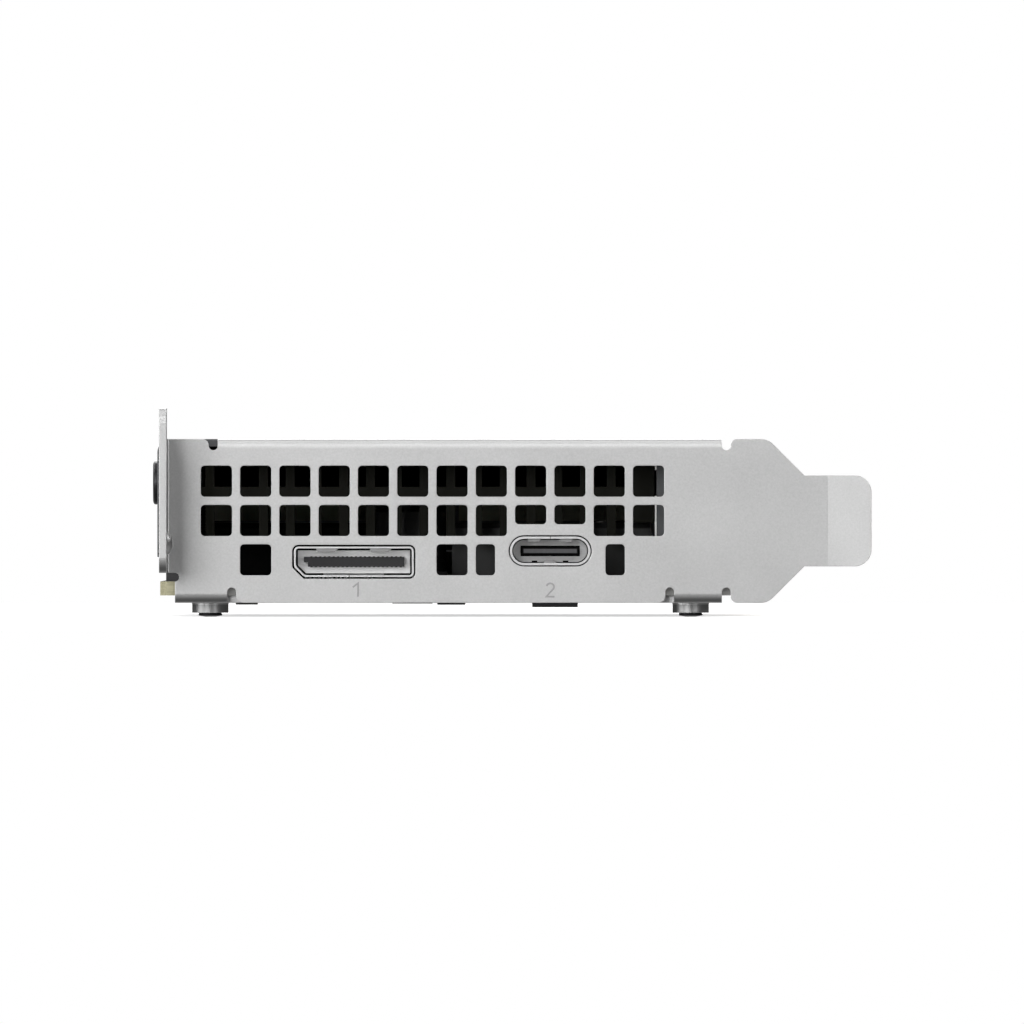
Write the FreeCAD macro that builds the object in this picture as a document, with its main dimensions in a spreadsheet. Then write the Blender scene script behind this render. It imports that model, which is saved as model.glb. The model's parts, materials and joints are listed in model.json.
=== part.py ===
import FreeCAD, Part
import math
import os
import re
from Sketcher import Constraint

# A low-profile expansion card that carries two solid-state drive modules under a finned heat sink.
# X runs from the bracket's screw tab to its tongue, Y from the bracket's outer face back along the board,
# and Z up from the board's upper face. Every piece is then shifted so that the part stands on Z = 0.

DIMENSIONS = {
    # Bracket sheet, its front plate and the tongue that drops into the chassis
    "sheet_t": 0.82,
    "bend_r": 0.2,
    "plate_top": 15.96,
    "shoulder_x": 68.1,
    "shoulder_r": 1.9,
    "tongue_w": 10.18,
    "tongue_bend_x": 74.8,
    "tongue_end": 79.71,
    "tongue_tilt": 12.0,
    "tongue_r": 1.9,
    # Screw tab that stands out of the plate, its notch and its pressed dimple
    "ear_low": 0.97,
    "ear_high": 19.43,
    "ear_depth": 11.43,
    "ear_r": 1.7,
    "ear_gap": 1.6,
    "ear_slot_end": 2.17,
    "notch_w": 4.42,
    "notch_y": 6.35,
    "notch_low": 13.9,
    "dimple_y": 5.6,
    "dimple_z": 4.23,
    "dimple_r": 1.29,
    "dimple_h": 0.73,
    # Stiffening flange, the two board tabs and the relief notches beside the bends
    "relief_w": 0.99,
    "relief_depth": 0.88,
    "corner_r": 0.75,
    "flange_left": 6.48,
    "flange_right": 62.94,
    "flange_depth": 4.6,
    "neck_depth": 1.9,
    "tab_depth": 10.0,
    "tab_r": 1.0,
    "near_tab_left": 1.7,
    "near_tab_neck": 7.55,
    "near_tab_right": 11.0,
    "far_tab_left": 54.0,
    "far_tab_neck": 57.6,
    "far_tab_right": 62.94,
    # Drawn collars of the tabs and the screws that hold the board on them
    "near_screw_x": 5.62,
    "far_screw_x": 59.47,
    "tab_screw_y": 5.6,
    "collar_r": 2.05,
    "collar_drop": 1.13,
    "tab_shank_r": 1.35,
    "tab_tip_drop": 0.44,
    "tab_head_r": 2.6,
    "tab_head_h": 1.9,
    "tab_head_slope": 0.7,
    # Vent grid
    "vent_size": 3.49,
    "vent_r": 0.45,
    "vent_pitch": 4.4,
    "vent_left": 4.59,
    "vent_low": 0.68,
    "vent_columns": 12,
    "short_vent_h": 2.17,
    "narrow_vent_w": 2.17,
    # Circuit board, its edge tab and the key slot
    "board_t": 1.57,
    "board_left": 0.03,
    "board_end": 134.0,
    "board_r": 1.0,
    "board_gap": 0.05,
    "board_step_x": 0.75,
    "board_step_y": 0.9,
    "board_step_r": 0.4,
    "foot_right": 64.5,
    "foot_end": 38.0,
    "board_right": 60.65,
    "edge_reach": 8.25,
    "edge_start": 44.55,
    "edge_short": 11.65,
    "edge_long": 71.65,
    "key_w": 1.9,
    "key_depth": 7.2,
    "bevel": 0.45,
    # Gold contacts of the board edge
    "contact_t": 0.05,
    "contact_w": 0.7,
    "contact_length": 4.6,
    "contact_pitch": 1.0,
    "contact_margin": 0.475,
    "contact_inset": 0.55,
    "short_contacts": 11,
    "long_contacts": 71,
    # Heat sink extrusion
    "sink_front": 7.8,
    "sink_end": 128.0,
    "sink_base_low": 8.57,
    "sink_base_high": 10.6,
    "sink_wall_low": 6.6,
    "sink_wall_left": 3.07,
    "sink_wall_right": 53.07,
    "fin_top": 14.6,
    "fin_low": 4.6,
    "fin_left": 5.07,
    "fin_t": 1.0,
    "fin_pitch": 3.0,
    "fin_count": 16,
    "comb_depth": 3.2,
    # Folded cover and its side screws
    "cover_left": -0.32,
    "cover_right": 56.5,
    "cover_low": 2.74,
    "cover_t": 0.85,
    "cover_r": 1.5,
    "cover_gap": 0.23,
    "cover_front": 5.2,
    "cover_overhang": 1.0,
    "skirt_r": 1.7,
    "flap_low": 4.9,
    "flap_inset": 3.0,
    "flap_wing_inset": 0.98,
    "flap_wing_top": 13.4,
    "flap_relief_w": 1.0,
    "flap_relief_depth": 2.4,
    "side_screw_z": 11.06,
    "side_screw_front": 16.0,
    "side_screw_pitch": 100.0,
    "side_head_r": 2.43,
    "side_head_h": 0.56,
    "side_shank_r": 1.2,
    "side_shank_length": 5.25,
    # Standoffs between the board and the heat sink, and the screws from below
    "post_r": 2.1,
    "post_stud_r": 1.1,
    "post_stud_h": 1.7,
    "post_bore_depth": 6.0,
    "post_middle_x": 30.05,
    "post_front_y": 36.0,
    "post_middle_y": 76.0,
    "post_left_x": 5.4,
    "post_right_x": 50.6,
    "post_rear_y": 124.0,
    "sink_head_r": 2.25,
    "sink_head_h": 0.8,
    "sink_shank_r": 1.2,
    "sink_shank_length": 5.0,
    # Cable port shell and what is inside it
    "port_front": 0.1,
    "link_left": 15.03,
    "link_right": 28.43,
    "link_low": 0.5,
    "link_high": 3.9,
    "link_chamfer": 1.15,
    "link_r": 0.5,
    "link_t": 0.2,
    "link_gap": 0.2,
    "link_depth": 11.6,
    "link_plate_y": 4.6,
    "link_tongue_left": 16.14,
    "link_tongue_right": 27.36,
    "link_tongue_low": 1.68,
    "link_tongue_high": 2.73,
    "link_tongue_front": 1.2,
    "link_step_w": 0.45,
    "link_step_h": 0.5,
    "link_contact_w": 0.24,
    "link_contact_pitch": 0.5,
    "link_contact_count": 21,
    "link_contact_h": 0.06,
    "link_plate_gap": 0.22,
    "link_plate_tab_left": 18.3,
    "link_plate_tab_right": 25.1,
    "link_tooth_h": 0.09,
    "link_tooth_length": 0.5,
    "latch_w": 2.5,
    "latch_h": 0.4,
    "latch_inset": 2.45,
    # Small round-ended port shell and what is inside it
    "type_c_x": 43.72,
    "type_c_z": 3.42,
    "type_c_w": 9.03,
    "type_c_h": 3.22,
    "type_c_t": 0.25,
    "type_c_gap": 0.14,
    "type_c_depth": 7.4,
    "type_c_plate_y": 4.2,
    "type_c_window_w": 6.64,
    "type_c_window_h": 1.13,
    "type_c_tongue_w": 6.1,
    "type_c_tongue_h": 0.52,
    "type_c_tongue_front": 1.1,
    "type_c_contact_count": 12,
    "type_c_contact_w": 0.25,
    "type_c_contact_pitch": 0.5,
    "type_c_contact_h": 0.03,
    "type_c_contact_setback": 1.0,
    "type_c_plate_gap": 0.12,
    "type_c_spring_w": 1.4,
    "type_c_spring_h": 0.34,
    "type_c_spring_x": 1.8,
    "plate_t": 0.25,
    "leg_w": 0.9,
    # Drive sockets, their standoffs and thermal pads
    "socket_w": 22.34,
    "socket_depth": 8.9,
    "socket_h": 6.55,
    "socket_chamfer": 0.6,
    "socket_slot_w": 20.1,
    "socket_slot_low": 4.75,
    "socket_slot_h": 1.0,
    "socket_slot_depth": 5.4,
    "socket_key_w": 1.2,
    "socket_key_offset": 6.1,
    "left_bay_x": 16.2,
    "left_bay_y": 24.0,
    "right_bay_x": 43.87,
    "right_bay_y": 12.0,
    "drive_length": 80.0,
    "drive_insert": 4.0,
    "spacer_r": 1.9,
    "spacer_foot_r": 2.6,
    "spacer_foot_h": 0.9,
    "spacer_bore_r": 0.85,
    "drive_head_r": 1.75,
    "drive_head_h": 1.0,
    "drive_shank_r": 0.8,
    "drive_shank_length": 3.0,
    "left_pad_w": 21.0,
    "right_pad_w": 19.5,
    "pad_shift": 0.75,
    "pad_length": 72.0,
    "pad_setback": 1.1,
    "pad_t": 1.77,
    # Board components
    "can_x": 28.05,
    "can_y": 17.2,
    "can_r": 4.0,
    "can_top": 8.1,
    "can_base_w": 8.2,
    "can_base_h": 1.1,
    "can_groove": 0.3,
    "flash_x": 41.7,
    "flash_y": 14.0,
    "flash_w": 5.14,
    "flash_d": 4.0,
    "flash_h": 1.347,
    "regulator_x": 31.04,
    "regulator_y": 15.0,
    "regulator_w": 3.16,
    "regulator_d": 3.0,
    "regulator_h": 1.084,
    "switch_x": 26.0,
    "switch_y": 16.0,
    "switch_w": 4.5,
    "switch_d": 4.5,
    "switch_h": 0.94,
    "filter_x": 8.42,
    "filter_y": 14.0,
    "filter_w": 2.46,
    "filter_d": 3.2,
    "filter_h": 1.07,
    "controller_x": 39.9,
    "controller_y": 28.0,
    "controller_w": 8.0,
    "controller_d": 8.0,
    "controller_h": 0.85,
    "clock_x": 28.0,
    "clock_y": 58.0,
    "clock_w": 5.0,
    "clock_d": 5.0,
    "clock_h": 0.9,
    "converter_x": 28.0,
    "converter_y": 43.0,
    "converter_w": 4.0,
    "converter_d": 4.0,
    "converter_h": 0.85,
    "inductor_x": 27.5,
    "inductor_y": 22.4,
    "inductor_w": 5.4,
    "inductor_d": 5.0,
    "inductor_h": 4.4,
    "tantalum_x": 0.6,
    "tantalum_y": 13.0,
    "tantalum_w": 4.0,
    "tantalum_d": 7.0,
    "tantalum_h": 1.9,
    "ceramic_x": 57.6,
    "ceramic_y": 62.0,
    "ceramic_w": 1.0,
    "ceramic_d": 0.55,
    "ceramic_h": 0.5,
    "ceramic_pitch": 2.0,
    "ceramic_count": 32,
}

doc = FreeCAD.newDocument("drive_adapter_card")
dims = doc.addObject("Spreadsheet::Sheet", "dims")
for row, (alias, value) in enumerate(DIMENSIONS.items(), 1):
    dims.set("A%d" % row, alias)
    dims.set("B%d" % row, str(value))
    dims.setAlias("B%d" % row, alias)
doc.recompute()

# Offsets that put the origin under the middle of the part's box, on the surface it lies on
DATUM = {
    "x": "-(cover_left - side_head_h + tongue_end) / 2",
    "y": "-(board_end - ear_depth) / 2",
    "z": "board_t + sheet_t + collar_drop + tab_tip_drop",
}
PLATE_BOTTOM = "-(board_t + sheet_t)"
TIP_LOW = "-(board_t + sheet_t + collar_drop + tab_tip_drop)"
BOARD_FRONT = "sheet_t + bend_r + board_gap"
EDGE_X = "board_right + edge_reach"
SINK_LEFT = "cover_left + cover_t + cover_gap"
SINK_RIGHT = "cover_right - cover_t - cover_gap"

NODES = {}


def num(text):
    """The value of an expression in the sheet's names."""
    return float(dims.evalExpression(text))


def bind(target, slot, text):
    """Ties a property or constraint to an expression in the sheet's names."""
    names = re.sub(r"[a-z_]+", lambda m: "dims." + m[0] if m[0] in DIMENSIONS else m[0], text)
    target.setExpression(slot, names)


def place(target):
    """Gives a piece the shift that every piece shares."""
    for axis, text in DATUM.items():
        bind(target, "Placement.Base." + axis, text)


def new_body(label):
    """An empty body; a label without a leading underscore names a sub-part."""
    body = doc.addObject("PartDesign::Body", label)
    body.Label = label
    place(body)
    NODES[label] = body
    return body


def group(label, bodies):
    """Joins like pieces into one sub-part of separate solids."""
    for body in bodies:
        del NODES[body.Label]
    compound = doc.addObject("Part::Compound", label)
    compound.Label = label
    compound.Links = bodies
    NODES[label] = compound
    doc.recompute()
    return compound


def sketch_on(body, plane, name, x="0", y="0", z="0"):
    """A sketch on one of the body's planes, with its own origin moved to a point."""
    sketch = body.newObject("Sketcher::SketchObject", body.Label + "_" + name)
    origin = next(f for f in body.Origin.OriginFeatures if f.Role == plane + "_Plane")
    sketch.AttachmentSupport = [(origin, "")]
    sketch.MapMode = "FlatFace"
    local = {"XY": (x, y, z), "XZ": (x, z, "-(%s)" % y), "YZ": (y, z, x)}[plane]
    for axis, text in zip("xyz", local):
        bind(sketch, "AttachmentOffset.Base." + axis, text)
    return sketch


def constrain(sketch, kind, *where):
    """Adds a constraint; when the last value is text, the constraint is bound to it."""
    if isinstance(where[-1], str):
        index = sketch.addConstraint(Constraint(kind, *where[:-1], num(where[-1])))
        bind(sketch, "Constraints[%d]" % index, where[-1])
    else:
        sketch.addConstraint(Constraint(kind, *where))


def pin_point(sketch, item, spot, x, y):
    """Fixes a point of a sketch by its two distances from the sketch's origin."""
    constrain(sketch, "DistanceX", -1, 1, item, spot, x)
    constrain(sketch, "DistanceY", -1, 1, item, spot, y)


def loop(sketch, corners):
    """A closed outline through corners (x, y) or (x, y, radius); a radius rounds its corner."""
    count = len(corners)
    tips = [FreeCAD.Vector(num(c[0]), num(c[1]), 0) for c in corners]
    leave, reach, arcs = [], [], {}
    for i, corner in enumerate(corners):
        leave.append(tips[i])
        reach.append(tips[i])
        if len(corner) == 3:
            back = (tips[i - 1] - tips[i]).normalize()
            ahead = (tips[(i + 1) % count] - tips[i]).normalize()
            half = back.getAngle(ahead) / 2
            radius = num(corner[2])
            reach[i] = tips[i] + back * (radius / math.tan(half))
            leave[i] = tips[i] + ahead * (radius / math.tan(half))
            middle = tips[i] + (back + ahead).normalize() * (radius / math.sin(half))
            arcs[i] = (middle, radius, back.cross(ahead).z < 0)
    sides = [
        sketch.addGeometry(Part.LineSegment(leave[i], reach[(i + 1) % count]))
        for i in range(count)
    ]
    for i, corner in enumerate(corners):
        if i not in arcs:
            constrain(sketch, "Coincident", sides[i - 1], 2, sides[i], 1)
            pin_point(sketch, sides[i], 1, corner[0], corner[1])
            continue
        middle, radius, left_turn = arcs[i]
        first, last = (reach[i], leave[i]) if left_turn else (leave[i], reach[i])
        start = math.atan2(first.y - middle.y, first.x - middle.x)
        sweep = (math.atan2(last.y - middle.y, last.x - middle.x) - start) % (2 * math.pi)
        circle = Part.Circle(middle, FreeCAD.Vector(0, 0, 1), radius)
        arc = sketch.addGeometry(Part.ArcOfCircle(circle, start, start + sweep))
        tip = sketch.addGeometry(Part.Point(tips[i]), True)
        constrain(sketch, "Tangent", sides[i - 1], 2, arc, 1 if left_turn else 2)
        constrain(sketch, "Tangent", arc, 2 if left_turn else 1, sides[i], 1)
        constrain(sketch, "PointOnObject", tip, 1, sides[i - 1])
        constrain(sketch, "PointOnObject", tip, 1, sides[i])
        constrain(sketch, "Radius", arc, corner[2])
        pin_point(sketch, tip, 1, corner[0], corner[1])


def rectangle(sketch, x0, x1, y0, y1, radius=None):
    """A rectangle between two corners, with rounded corners if a radius is given."""
    corners = [(x0, y0), (x1, y0), (x1, y1), (x0, y1)]
    loop(sketch, [c + (radius,) for c in corners] if radius else corners)


def circle(sketch, x, y, radius):
    """A circle about a point."""
    centre = FreeCAD.Vector(num(x), num(y), 0)
    ring = sketch.addGeometry(Part.Circle(centre, FreeCAD.Vector(0, 0, 1), num(radius)))
    constrain(sketch, "Radius", ring, radius)
    pin_point(sketch, ring, 3, x, y)


def stadium(sketch, first, last, radius):
    """A round-ended slot between two centres."""
    a, b = (FreeCAD.Vector(num(p[0]), num(p[1]), 0) for p in (first, last))
    size = num(radius)
    along = (b - a).normalize()
    across = FreeCAD.Vector(-along.y, along.x, 0)
    turn = math.atan2(across.y, across.x)
    axis = FreeCAD.Vector(0, 0, 1)
    cap_a = sketch.addGeometry(Part.ArcOfCircle(Part.Circle(a, axis, size), turn, turn + math.pi))
    cap_b = sketch.addGeometry(Part.ArcOfCircle(Part.Circle(b, axis, size), turn - math.pi, turn))
    low = sketch.addGeometry(Part.LineSegment(a - across * size, b - across * size))
    high = sketch.addGeometry(Part.LineSegment(b + across * size, a + across * size))
    constrain(sketch, "Tangent", cap_a, 2, low, 1)
    constrain(sketch, "Tangent", low, 2, cap_b, 1)
    constrain(sketch, "Tangent", cap_b, 2, high, 1)
    constrain(sketch, "Tangent", high, 2, cap_a, 1)
    constrain(sketch, "Equal", cap_a, cap_b)
    constrain(sketch, "Radius", cap_a, radius)
    pin_point(sketch, cap_a, 3, *first)
    pin_point(sketch, cap_b, 3, *last)


def dome(sketch, radius, height):
    """Half the section of a shallow dome on the sketch's upright axis, with its axis along the sketch's X."""
    r, h = num(radius), num(height)
    ball = (r * r + h * h) / (2 * h)
    middle = FreeCAD.Vector(h - ball, 0, 0)
    rim = math.atan2(r, ball - h)
    bow = sketch.addGeometry(
        Part.ArcOfCircle(Part.Circle(middle, FreeCAD.Vector(0, 0, 1), ball), 0, rim)
    )
    zero = FreeCAD.Vector(0, 0, 0)
    wall = sketch.addGeometry(Part.LineSegment(FreeCAD.Vector(0, r, 0), zero))
    floor = sketch.addGeometry(Part.LineSegment(zero, FreeCAD.Vector(h, 0, 0)))
    constrain(sketch, "Coincident", wall, 2, floor, 1)
    constrain(sketch, "Coincident", floor, 2, bow, 1)
    constrain(sketch, "Coincident", bow, 2, wall, 1)
    constrain(sketch, "PointOnObject", bow, 3, -1)
    pin_point(sketch, wall, 2, "0", "0")
    pin_point(sketch, wall, 1, "0", radius)
    pin_point(sketch, floor, 2, height, "0")


def volume(body):
    """The volume of a body so far."""
    return body.Tip.Shape.Volume if body.Tip else 0.0


def add_feature(body, kind, sketch):
    """A feature made from a sketch, after which the caller sets its size."""
    feature = body.newObject("PartDesign::" + kind, sketch.Label + "_" + kind.lower())
    feature.Profile = sketch
    return feature


def settle(body, before, grows, feature):
    """Recomputes, and stops if a feature added or removed nothing."""
    doc.recompute()
    change = volume(body) - before
    if (change if grows else -change) < 1e-6:
        raise RuntimeError("%s changes nothing" % feature.Label)
    return feature


def pad(body, sketch, length):
    """Solid from a sketch towards larger X, Y or Z."""
    before = volume(body)
    feature = add_feature(body, "Pad", sketch)
    feature.Reversed = sketch.AttachmentSupport[0][0].Role == "XZ_Plane"
    bind(feature, "Length", length)
    return settle(body, before, True, feature)


def pocket(body, sketch, length):
    """Cut from a sketch towards larger X, Y or Z."""
    before = volume(body)
    feature = add_feature(body, "Pocket", sketch)
    feature.Reversed = sketch.AttachmentSupport[0][0].Role != "XZ_Plane"
    bind(feature, "Length", length)
    return settle(body, before, False, feature)


def turn(body, sketch, axis, kind="Revolution"):
    """Turned solid or groove about a sketch's own axis, H_Axis or V_Axis."""
    before = volume(body)
    feature = add_feature(body, kind, sketch)
    feature.ReferenceAxis = (sketch, [axis])
    feature.Angle = 360
    return settle(body, before, kind == "Revolution", feature)


def repeat(body, feature, axis, count, pitch):
    """A row of copies of a feature along X, Y or Z."""
    row = body.newObject("PartDesign::LinearPattern", feature.Label + "_row")
    row.Originals = [feature]
    line = next(f for f in body.Origin.OriginFeatures if f.Role == axis + "_Axis")
    row.Direction = (line, [""])
    bind(row, "Occurrences", count)
    bind(row, "Length", "(%s - 1) * (%s)" % (count, pitch))
    body.Tip = row
    doc.recompute()
    return row


def on_lines(shape, lines, lengthwise):
    """Names of a shape's edges that run along one axis on any of the given lines.

    A line is a dict of expressions for two of x, y and z, with an optional (low, high) for the third."""
    found = []
    for index, edge in enumerate(shape.Edges, 1):
        ends = [v.Point for v in edge.Vertexes]
        if len(ends) != 2 or abs(abs(getattr(ends[0] - ends[1], lengthwise)) - edge.Length) > 1e-6:
            continue
        for line in lines:
            near = all(
                abs(getattr(p, axis) - num(text)) < 1e-4
                for axis, text in line.items() if axis != lengthwise for p in ends
            )
            low, high = line.get(lengthwise, ("-1000", "1000"))
            inside = all(num(low) - 1e-4 < getattr(p, lengthwise) < num(high) + 1e-4 for p in ends)
            if near and inside:
                found.append("Edge%d" % index)
                break
    return found


def ease(body, name, kind, size, lines, lengthwise):
    """Fillet or chamfer of the edges on the given lines."""
    edges = on_lines(body.Tip.Shape, lines, lengthwise)
    if len(edges) < len(lines):
        raise RuntimeError("%s finds %d of %d edges" % (name, len(edges), len(lines)))
    base = body.Tip
    feature = body.newObject("PartDesign::" + kind, body.Label + "_" + name)
    feature.Base = (base, edges)
    bind(feature, "Radius" if kind == "Fillet" else "Size", size)
    doc.recompute()
    if feature.Shape.isNull():
        raise RuntimeError("%s has no shape" % feature.Label)
    return feature


def block(label, x0, x1, y0, y1, z0, z1):
    """A plain rectangular piece."""
    body = new_body(label)
    sketch = sketch_on(body, "XY", "outline", z=z0)
    rectangle(sketch, x0, x1, y0, y1)
    pad(body, sketch, "(%s) - (%s)" % (z1, z0))
    return body


def screw(label, x, y, z, axis, sign, head, shank):
    """A screw with its seat at a point; the head lies towards sign along axis, X or Z."""
    head_r, head_h, head_slope = head
    shank_r, shank_length = shank
    body = new_body(label)
    profile = sketch_on(body, "XZ", "profile", x, y, z)
    top, tip = "%s * (%s)" % (sign, head_h), "%s * -(%s)" % (sign, shank_length)
    corners = [
        ("0", tip),
        (shank_r, tip),
        (shank_r, "0"),
        (head_r, "0"),
        (head_r, "%s * ((%s) - (%s))" % (sign, head_h, head_slope)),
        ("(%s) - (%s)" % (head_r, head_slope), top),
        ("0", top),
    ]
    if axis == "X":
        corners = [(along, out) for out, along in corners]
    loop(profile, corners)
    turn(body, profile, "H_Axis" if axis == "X" else "V_Axis")
    return body


def bracket_outline(body):
    """The front plate with its sloped shoulders, and the tilted tongue below them."""
    slope = "(plate_top - (%s) - tongue_w) / 2" % PLATE_BOTTOM
    low, high = "(%s) + %s" % (PLATE_BOTTOM, slope), "plate_top - %s" % slope
    plate = sketch_on(body, "XZ", "plate")
    loop(plate, [
        ("near_tab_left", PLATE_BOTTOM),
        ("shoulder_x", PLATE_BOTTOM, "shoulder_r"),
        ("shoulder_x + " + slope, low),
        ("tongue_bend_x", low),
        ("tongue_bend_x", high),
        ("shoulder_x + " + slope, high),
        ("shoulder_x", "plate_top", "shoulder_r"),
        ("0", "plate_top"),
        ("0", "ear_low"),
        ("near_tab_left", "ear_low"),
    ])
    pad(body, plate, "sheet_t")
    tongue = sketch_on(body, "XY", "tongue", z=low)
    rise = "(tongue_end - tongue_bend_x) * tan(tongue_tilt)"
    loop(tongue, [
        ("tongue_bend_x", "0"),
        ("tongue_end", rise),
        ("tongue_end - sheet_t * sin(tongue_tilt)", "%s + sheet_t * cos(tongue_tilt)" % rise),
        ("tongue_bend_x - sheet_t * tan(tongue_tilt / 2)", "sheet_t"),
    ])
    pad(body, tongue, "tongue_w")
    base = body.Tip
    ends = [
        "Edge%d" % i for i, e in enumerate(base.Shape.Edges, 1)
        if abs(e.Length - num("sheet_t")) < 1e-4
        and max(v.X for v in e.Vertexes) > num("tongue_end") - 1e-4
    ]
    tip = body.newObject("PartDesign::Fillet", body.Label + "_tongue_end")
    tip.Base = (base, ends)
    bind(tip, "Radius", "tongue_r")
    doc.recompute()


def bracket_ear(body):
    """The screw tab folded out of the plate, with its open notch, relief slot and pressed dimple."""
    ear = sketch_on(body, "YZ", "ear")
    loop(ear, [
        ("-ear_depth", "ear_low", "ear_r"),
        ("sheet_t", "ear_low"),
        ("sheet_t", "plate_top"),
        ("-ear_gap", "plate_top"),
        ("-ear_gap", "ear_high", "corner_r"),
        ("-ear_depth", "ear_high", "ear_r"),
    ])
    pad(body, ear, "sheet_t")
    notch = sketch_on(body, "YZ", "notch")
    stadium(notch, ("-notch_y", "notch_low + notch_w / 2"), ("-notch_y", "ear_high + notch_w"), "notch_w / 2")
    pocket(body, notch, "sheet_t")
    slot = sketch_on(body, "XZ", "ear_relief")
    stadium(slot, ("0", "ear_low / 2"), ("ear_slot_end - ear_low / 2", "ear_low / 2"), "ear_low / 2")
    pocket(body, slot, "sheet_t")
    ease(body, "ear_bend_outer", "Fillet", "sheet_t + bend_r", [{"x": "0", "y": "sheet_t"}], "z")
    ease(body, "ear_bend_inner", "Fillet", "bend_r", [{"x": "sheet_t", "y": "0"}], "z")
    bump = sketch_on(body, "XZ", "dimple", "sheet_t", "-dimple_y", "dimple_z")
    dome(bump, "dimple_r", "dimple_h")
    turn(body, bump, "H_Axis")
    hollow = sketch_on(body, "XZ", "dimple_back", "0", "-dimple_y", "dimple_z")
    dome(hollow, "dimple_r - sheet_t / 2", "dimple_h")
    turn(body, hollow, "H_Axis", "Groove")


def bracket_folds(body):
    """The flange along the top and the two tabs under the board, with reliefs beside each bend."""
    flange = sketch_on(body, "XY", "flange", z="plate_top - sheet_t")
    loop(flange, [
        ("flange_left", "0"),
        ("flange_right", "0"),
        ("flange_right", "flange_depth", "corner_r"),
        ("flange_left", "flange_depth", "corner_r"),
    ])
    pad(body, flange, "sheet_t")
    tabs = sketch_on(body, "XY", "tabs", z=PLATE_BOTTOM)
    loop(tabs, [
        ("near_tab_left", "0"),
        ("near_tab_neck", "0"),
        ("near_tab_neck", "neck_depth"),
        ("near_tab_right", "neck_depth"),
        ("near_tab_right", "tab_depth", "tab_r"),
        ("near_tab_left", "tab_depth", "tab_r"),
    ])
    loop(tabs, [
        ("far_tab_neck", "0"),
        ("far_tab_right", "0"),
        ("far_tab_right", "tab_depth", "tab_r"),
        ("far_tab_left", "tab_depth", "tab_r"),
        ("far_tab_left", "neck_depth"),
        ("far_tab_neck", "neck_depth"),
    ])
    pad(body, tabs, "sheet_t")
    reliefs = sketch_on(body, "XZ", "reliefs")
    for x in ("flange_left - relief_w / 2", "flange_right + relief_w / 2"):
        inner = "plate_top - sheet_t - relief_depth / 2 + relief_w / 2"
        stadium(reliefs, (x, inner), (x, "plate_top + relief_w"), "relief_w / 2")
    for x in ("near_tab_neck + relief_w / 2", "far_tab_neck - relief_w / 2", "far_tab_right + relief_w / 2"):
        inner = "-board_t + relief_depth - relief_w / 2"
        stadium(reliefs, (x, "%s - relief_w" % PLATE_BOTTOM), (x, inner), "relief_w / 2")
    pocket(body, reliefs, "sheet_t")
    flange_span = ("flange_left", "flange_right")
    near_span = ("near_tab_left", "near_tab_neck")
    far_span = ("far_tab_neck", "far_tab_right")
    outer = [
        {"y": "0", "z": "plate_top", "x": flange_span},
        {"y": "0", "z": PLATE_BOTTOM, "x": near_span},
        {"y": "0", "z": PLATE_BOTTOM, "x": far_span},
    ]
    inner = [
        {"y": "sheet_t", "z": "plate_top - sheet_t", "x": flange_span},
        {"y": "sheet_t", "z": "-board_t", "x": near_span},
        {"y": "sheet_t", "z": "-board_t", "x": far_span},
    ]
    ease(body, "fold_outer", "Fillet", "sheet_t + bend_r", outer, "x")
    ease(body, "fold_inner", "Fillet", "bend_r", inner, "x")
    corners = [
        {"x": "flange_left - relief_w", "z": "plate_top"},
        {"x": "flange_right + relief_w", "z": "plate_top"},
        {"x": "near_tab_neck + relief_w", "z": PLATE_BOTTOM},
        {"x": "far_tab_neck - relief_w", "z": PLATE_BOTTOM},
        {"x": "far_tab_right + relief_w", "z": PLATE_BOTTOM},
    ]
    ease(body, "relief_corners", "Fillet", "corner_r", corners, "y")


def bracket_collars(body):
    """Collars drawn down out of the tabs, each with its screw bore."""
    collars = sketch_on(body, "XY", "collars", z="%s - collar_drop" % PLATE_BOTTOM)
    bores = sketch_on(body, "XY", "collar_bores", z="%s - collar_drop" % PLATE_BOTTOM)
    for x in ("near_screw_x", "far_screw_x"):
        circle(collars, x, "tab_screw_y", "collar_r")
        circle(bores, x, "tab_screw_y", "tab_shank_r + 0.02")
    pad(body, collars, "collar_drop")
    pocket(body, bores, "collar_drop + sheet_t")


def vent_cell(sketch, column, row, width="vent_size", height="vent_size", from_right="0", from_top="0"):
    """One vent opening of the grid; a cell that is cut short keeps its right or top side where asked."""
    x = "vent_left + %d * vent_pitch + %s" % (column, from_right)
    z = "vent_low + %d * vent_pitch + %s" % (row, from_top)
    rectangle(sketch, x, "%s + %s" % (x, width), z, "%s + %s" % (z, height), "vent_r")


def bracket_vents(body):
    """Three rows of square vents; those beside the ports are left out or cut short."""
    upper = sketch_on(body, "XZ", "vents_upper")
    vent_cell(upper, 0, 2)
    repeat(body, pocket(body, upper, "sheet_t"), "X", "vent_columns", "vent_pitch")
    middle = sketch_on(body, "XZ", "vents_middle")
    vent_cell(middle, 0, 1)
    repeat(body, pocket(body, middle, "sheet_t"), "X", "vent_columns - 4", "vent_pitch")
    rest = sketch_on(body, "XZ", "vents_rest")
    for column in (10, 11):
        vent_cell(rest, column, 1)
    for column in (8, 9):
        vent_cell(rest, column, 1, height="short_vent_h", from_top="vent_size - short_vent_h")
    for column in (1, 6):
        vent_cell(rest, column, 0)
    vent_cell(rest, 7, 0, width="narrow_vent_w")
    vent_cell(rest, 10, 0, width="narrow_vent_w", from_right="vent_size - narrow_vent_w")
    pocket(body, rest, "sheet_t")


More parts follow.
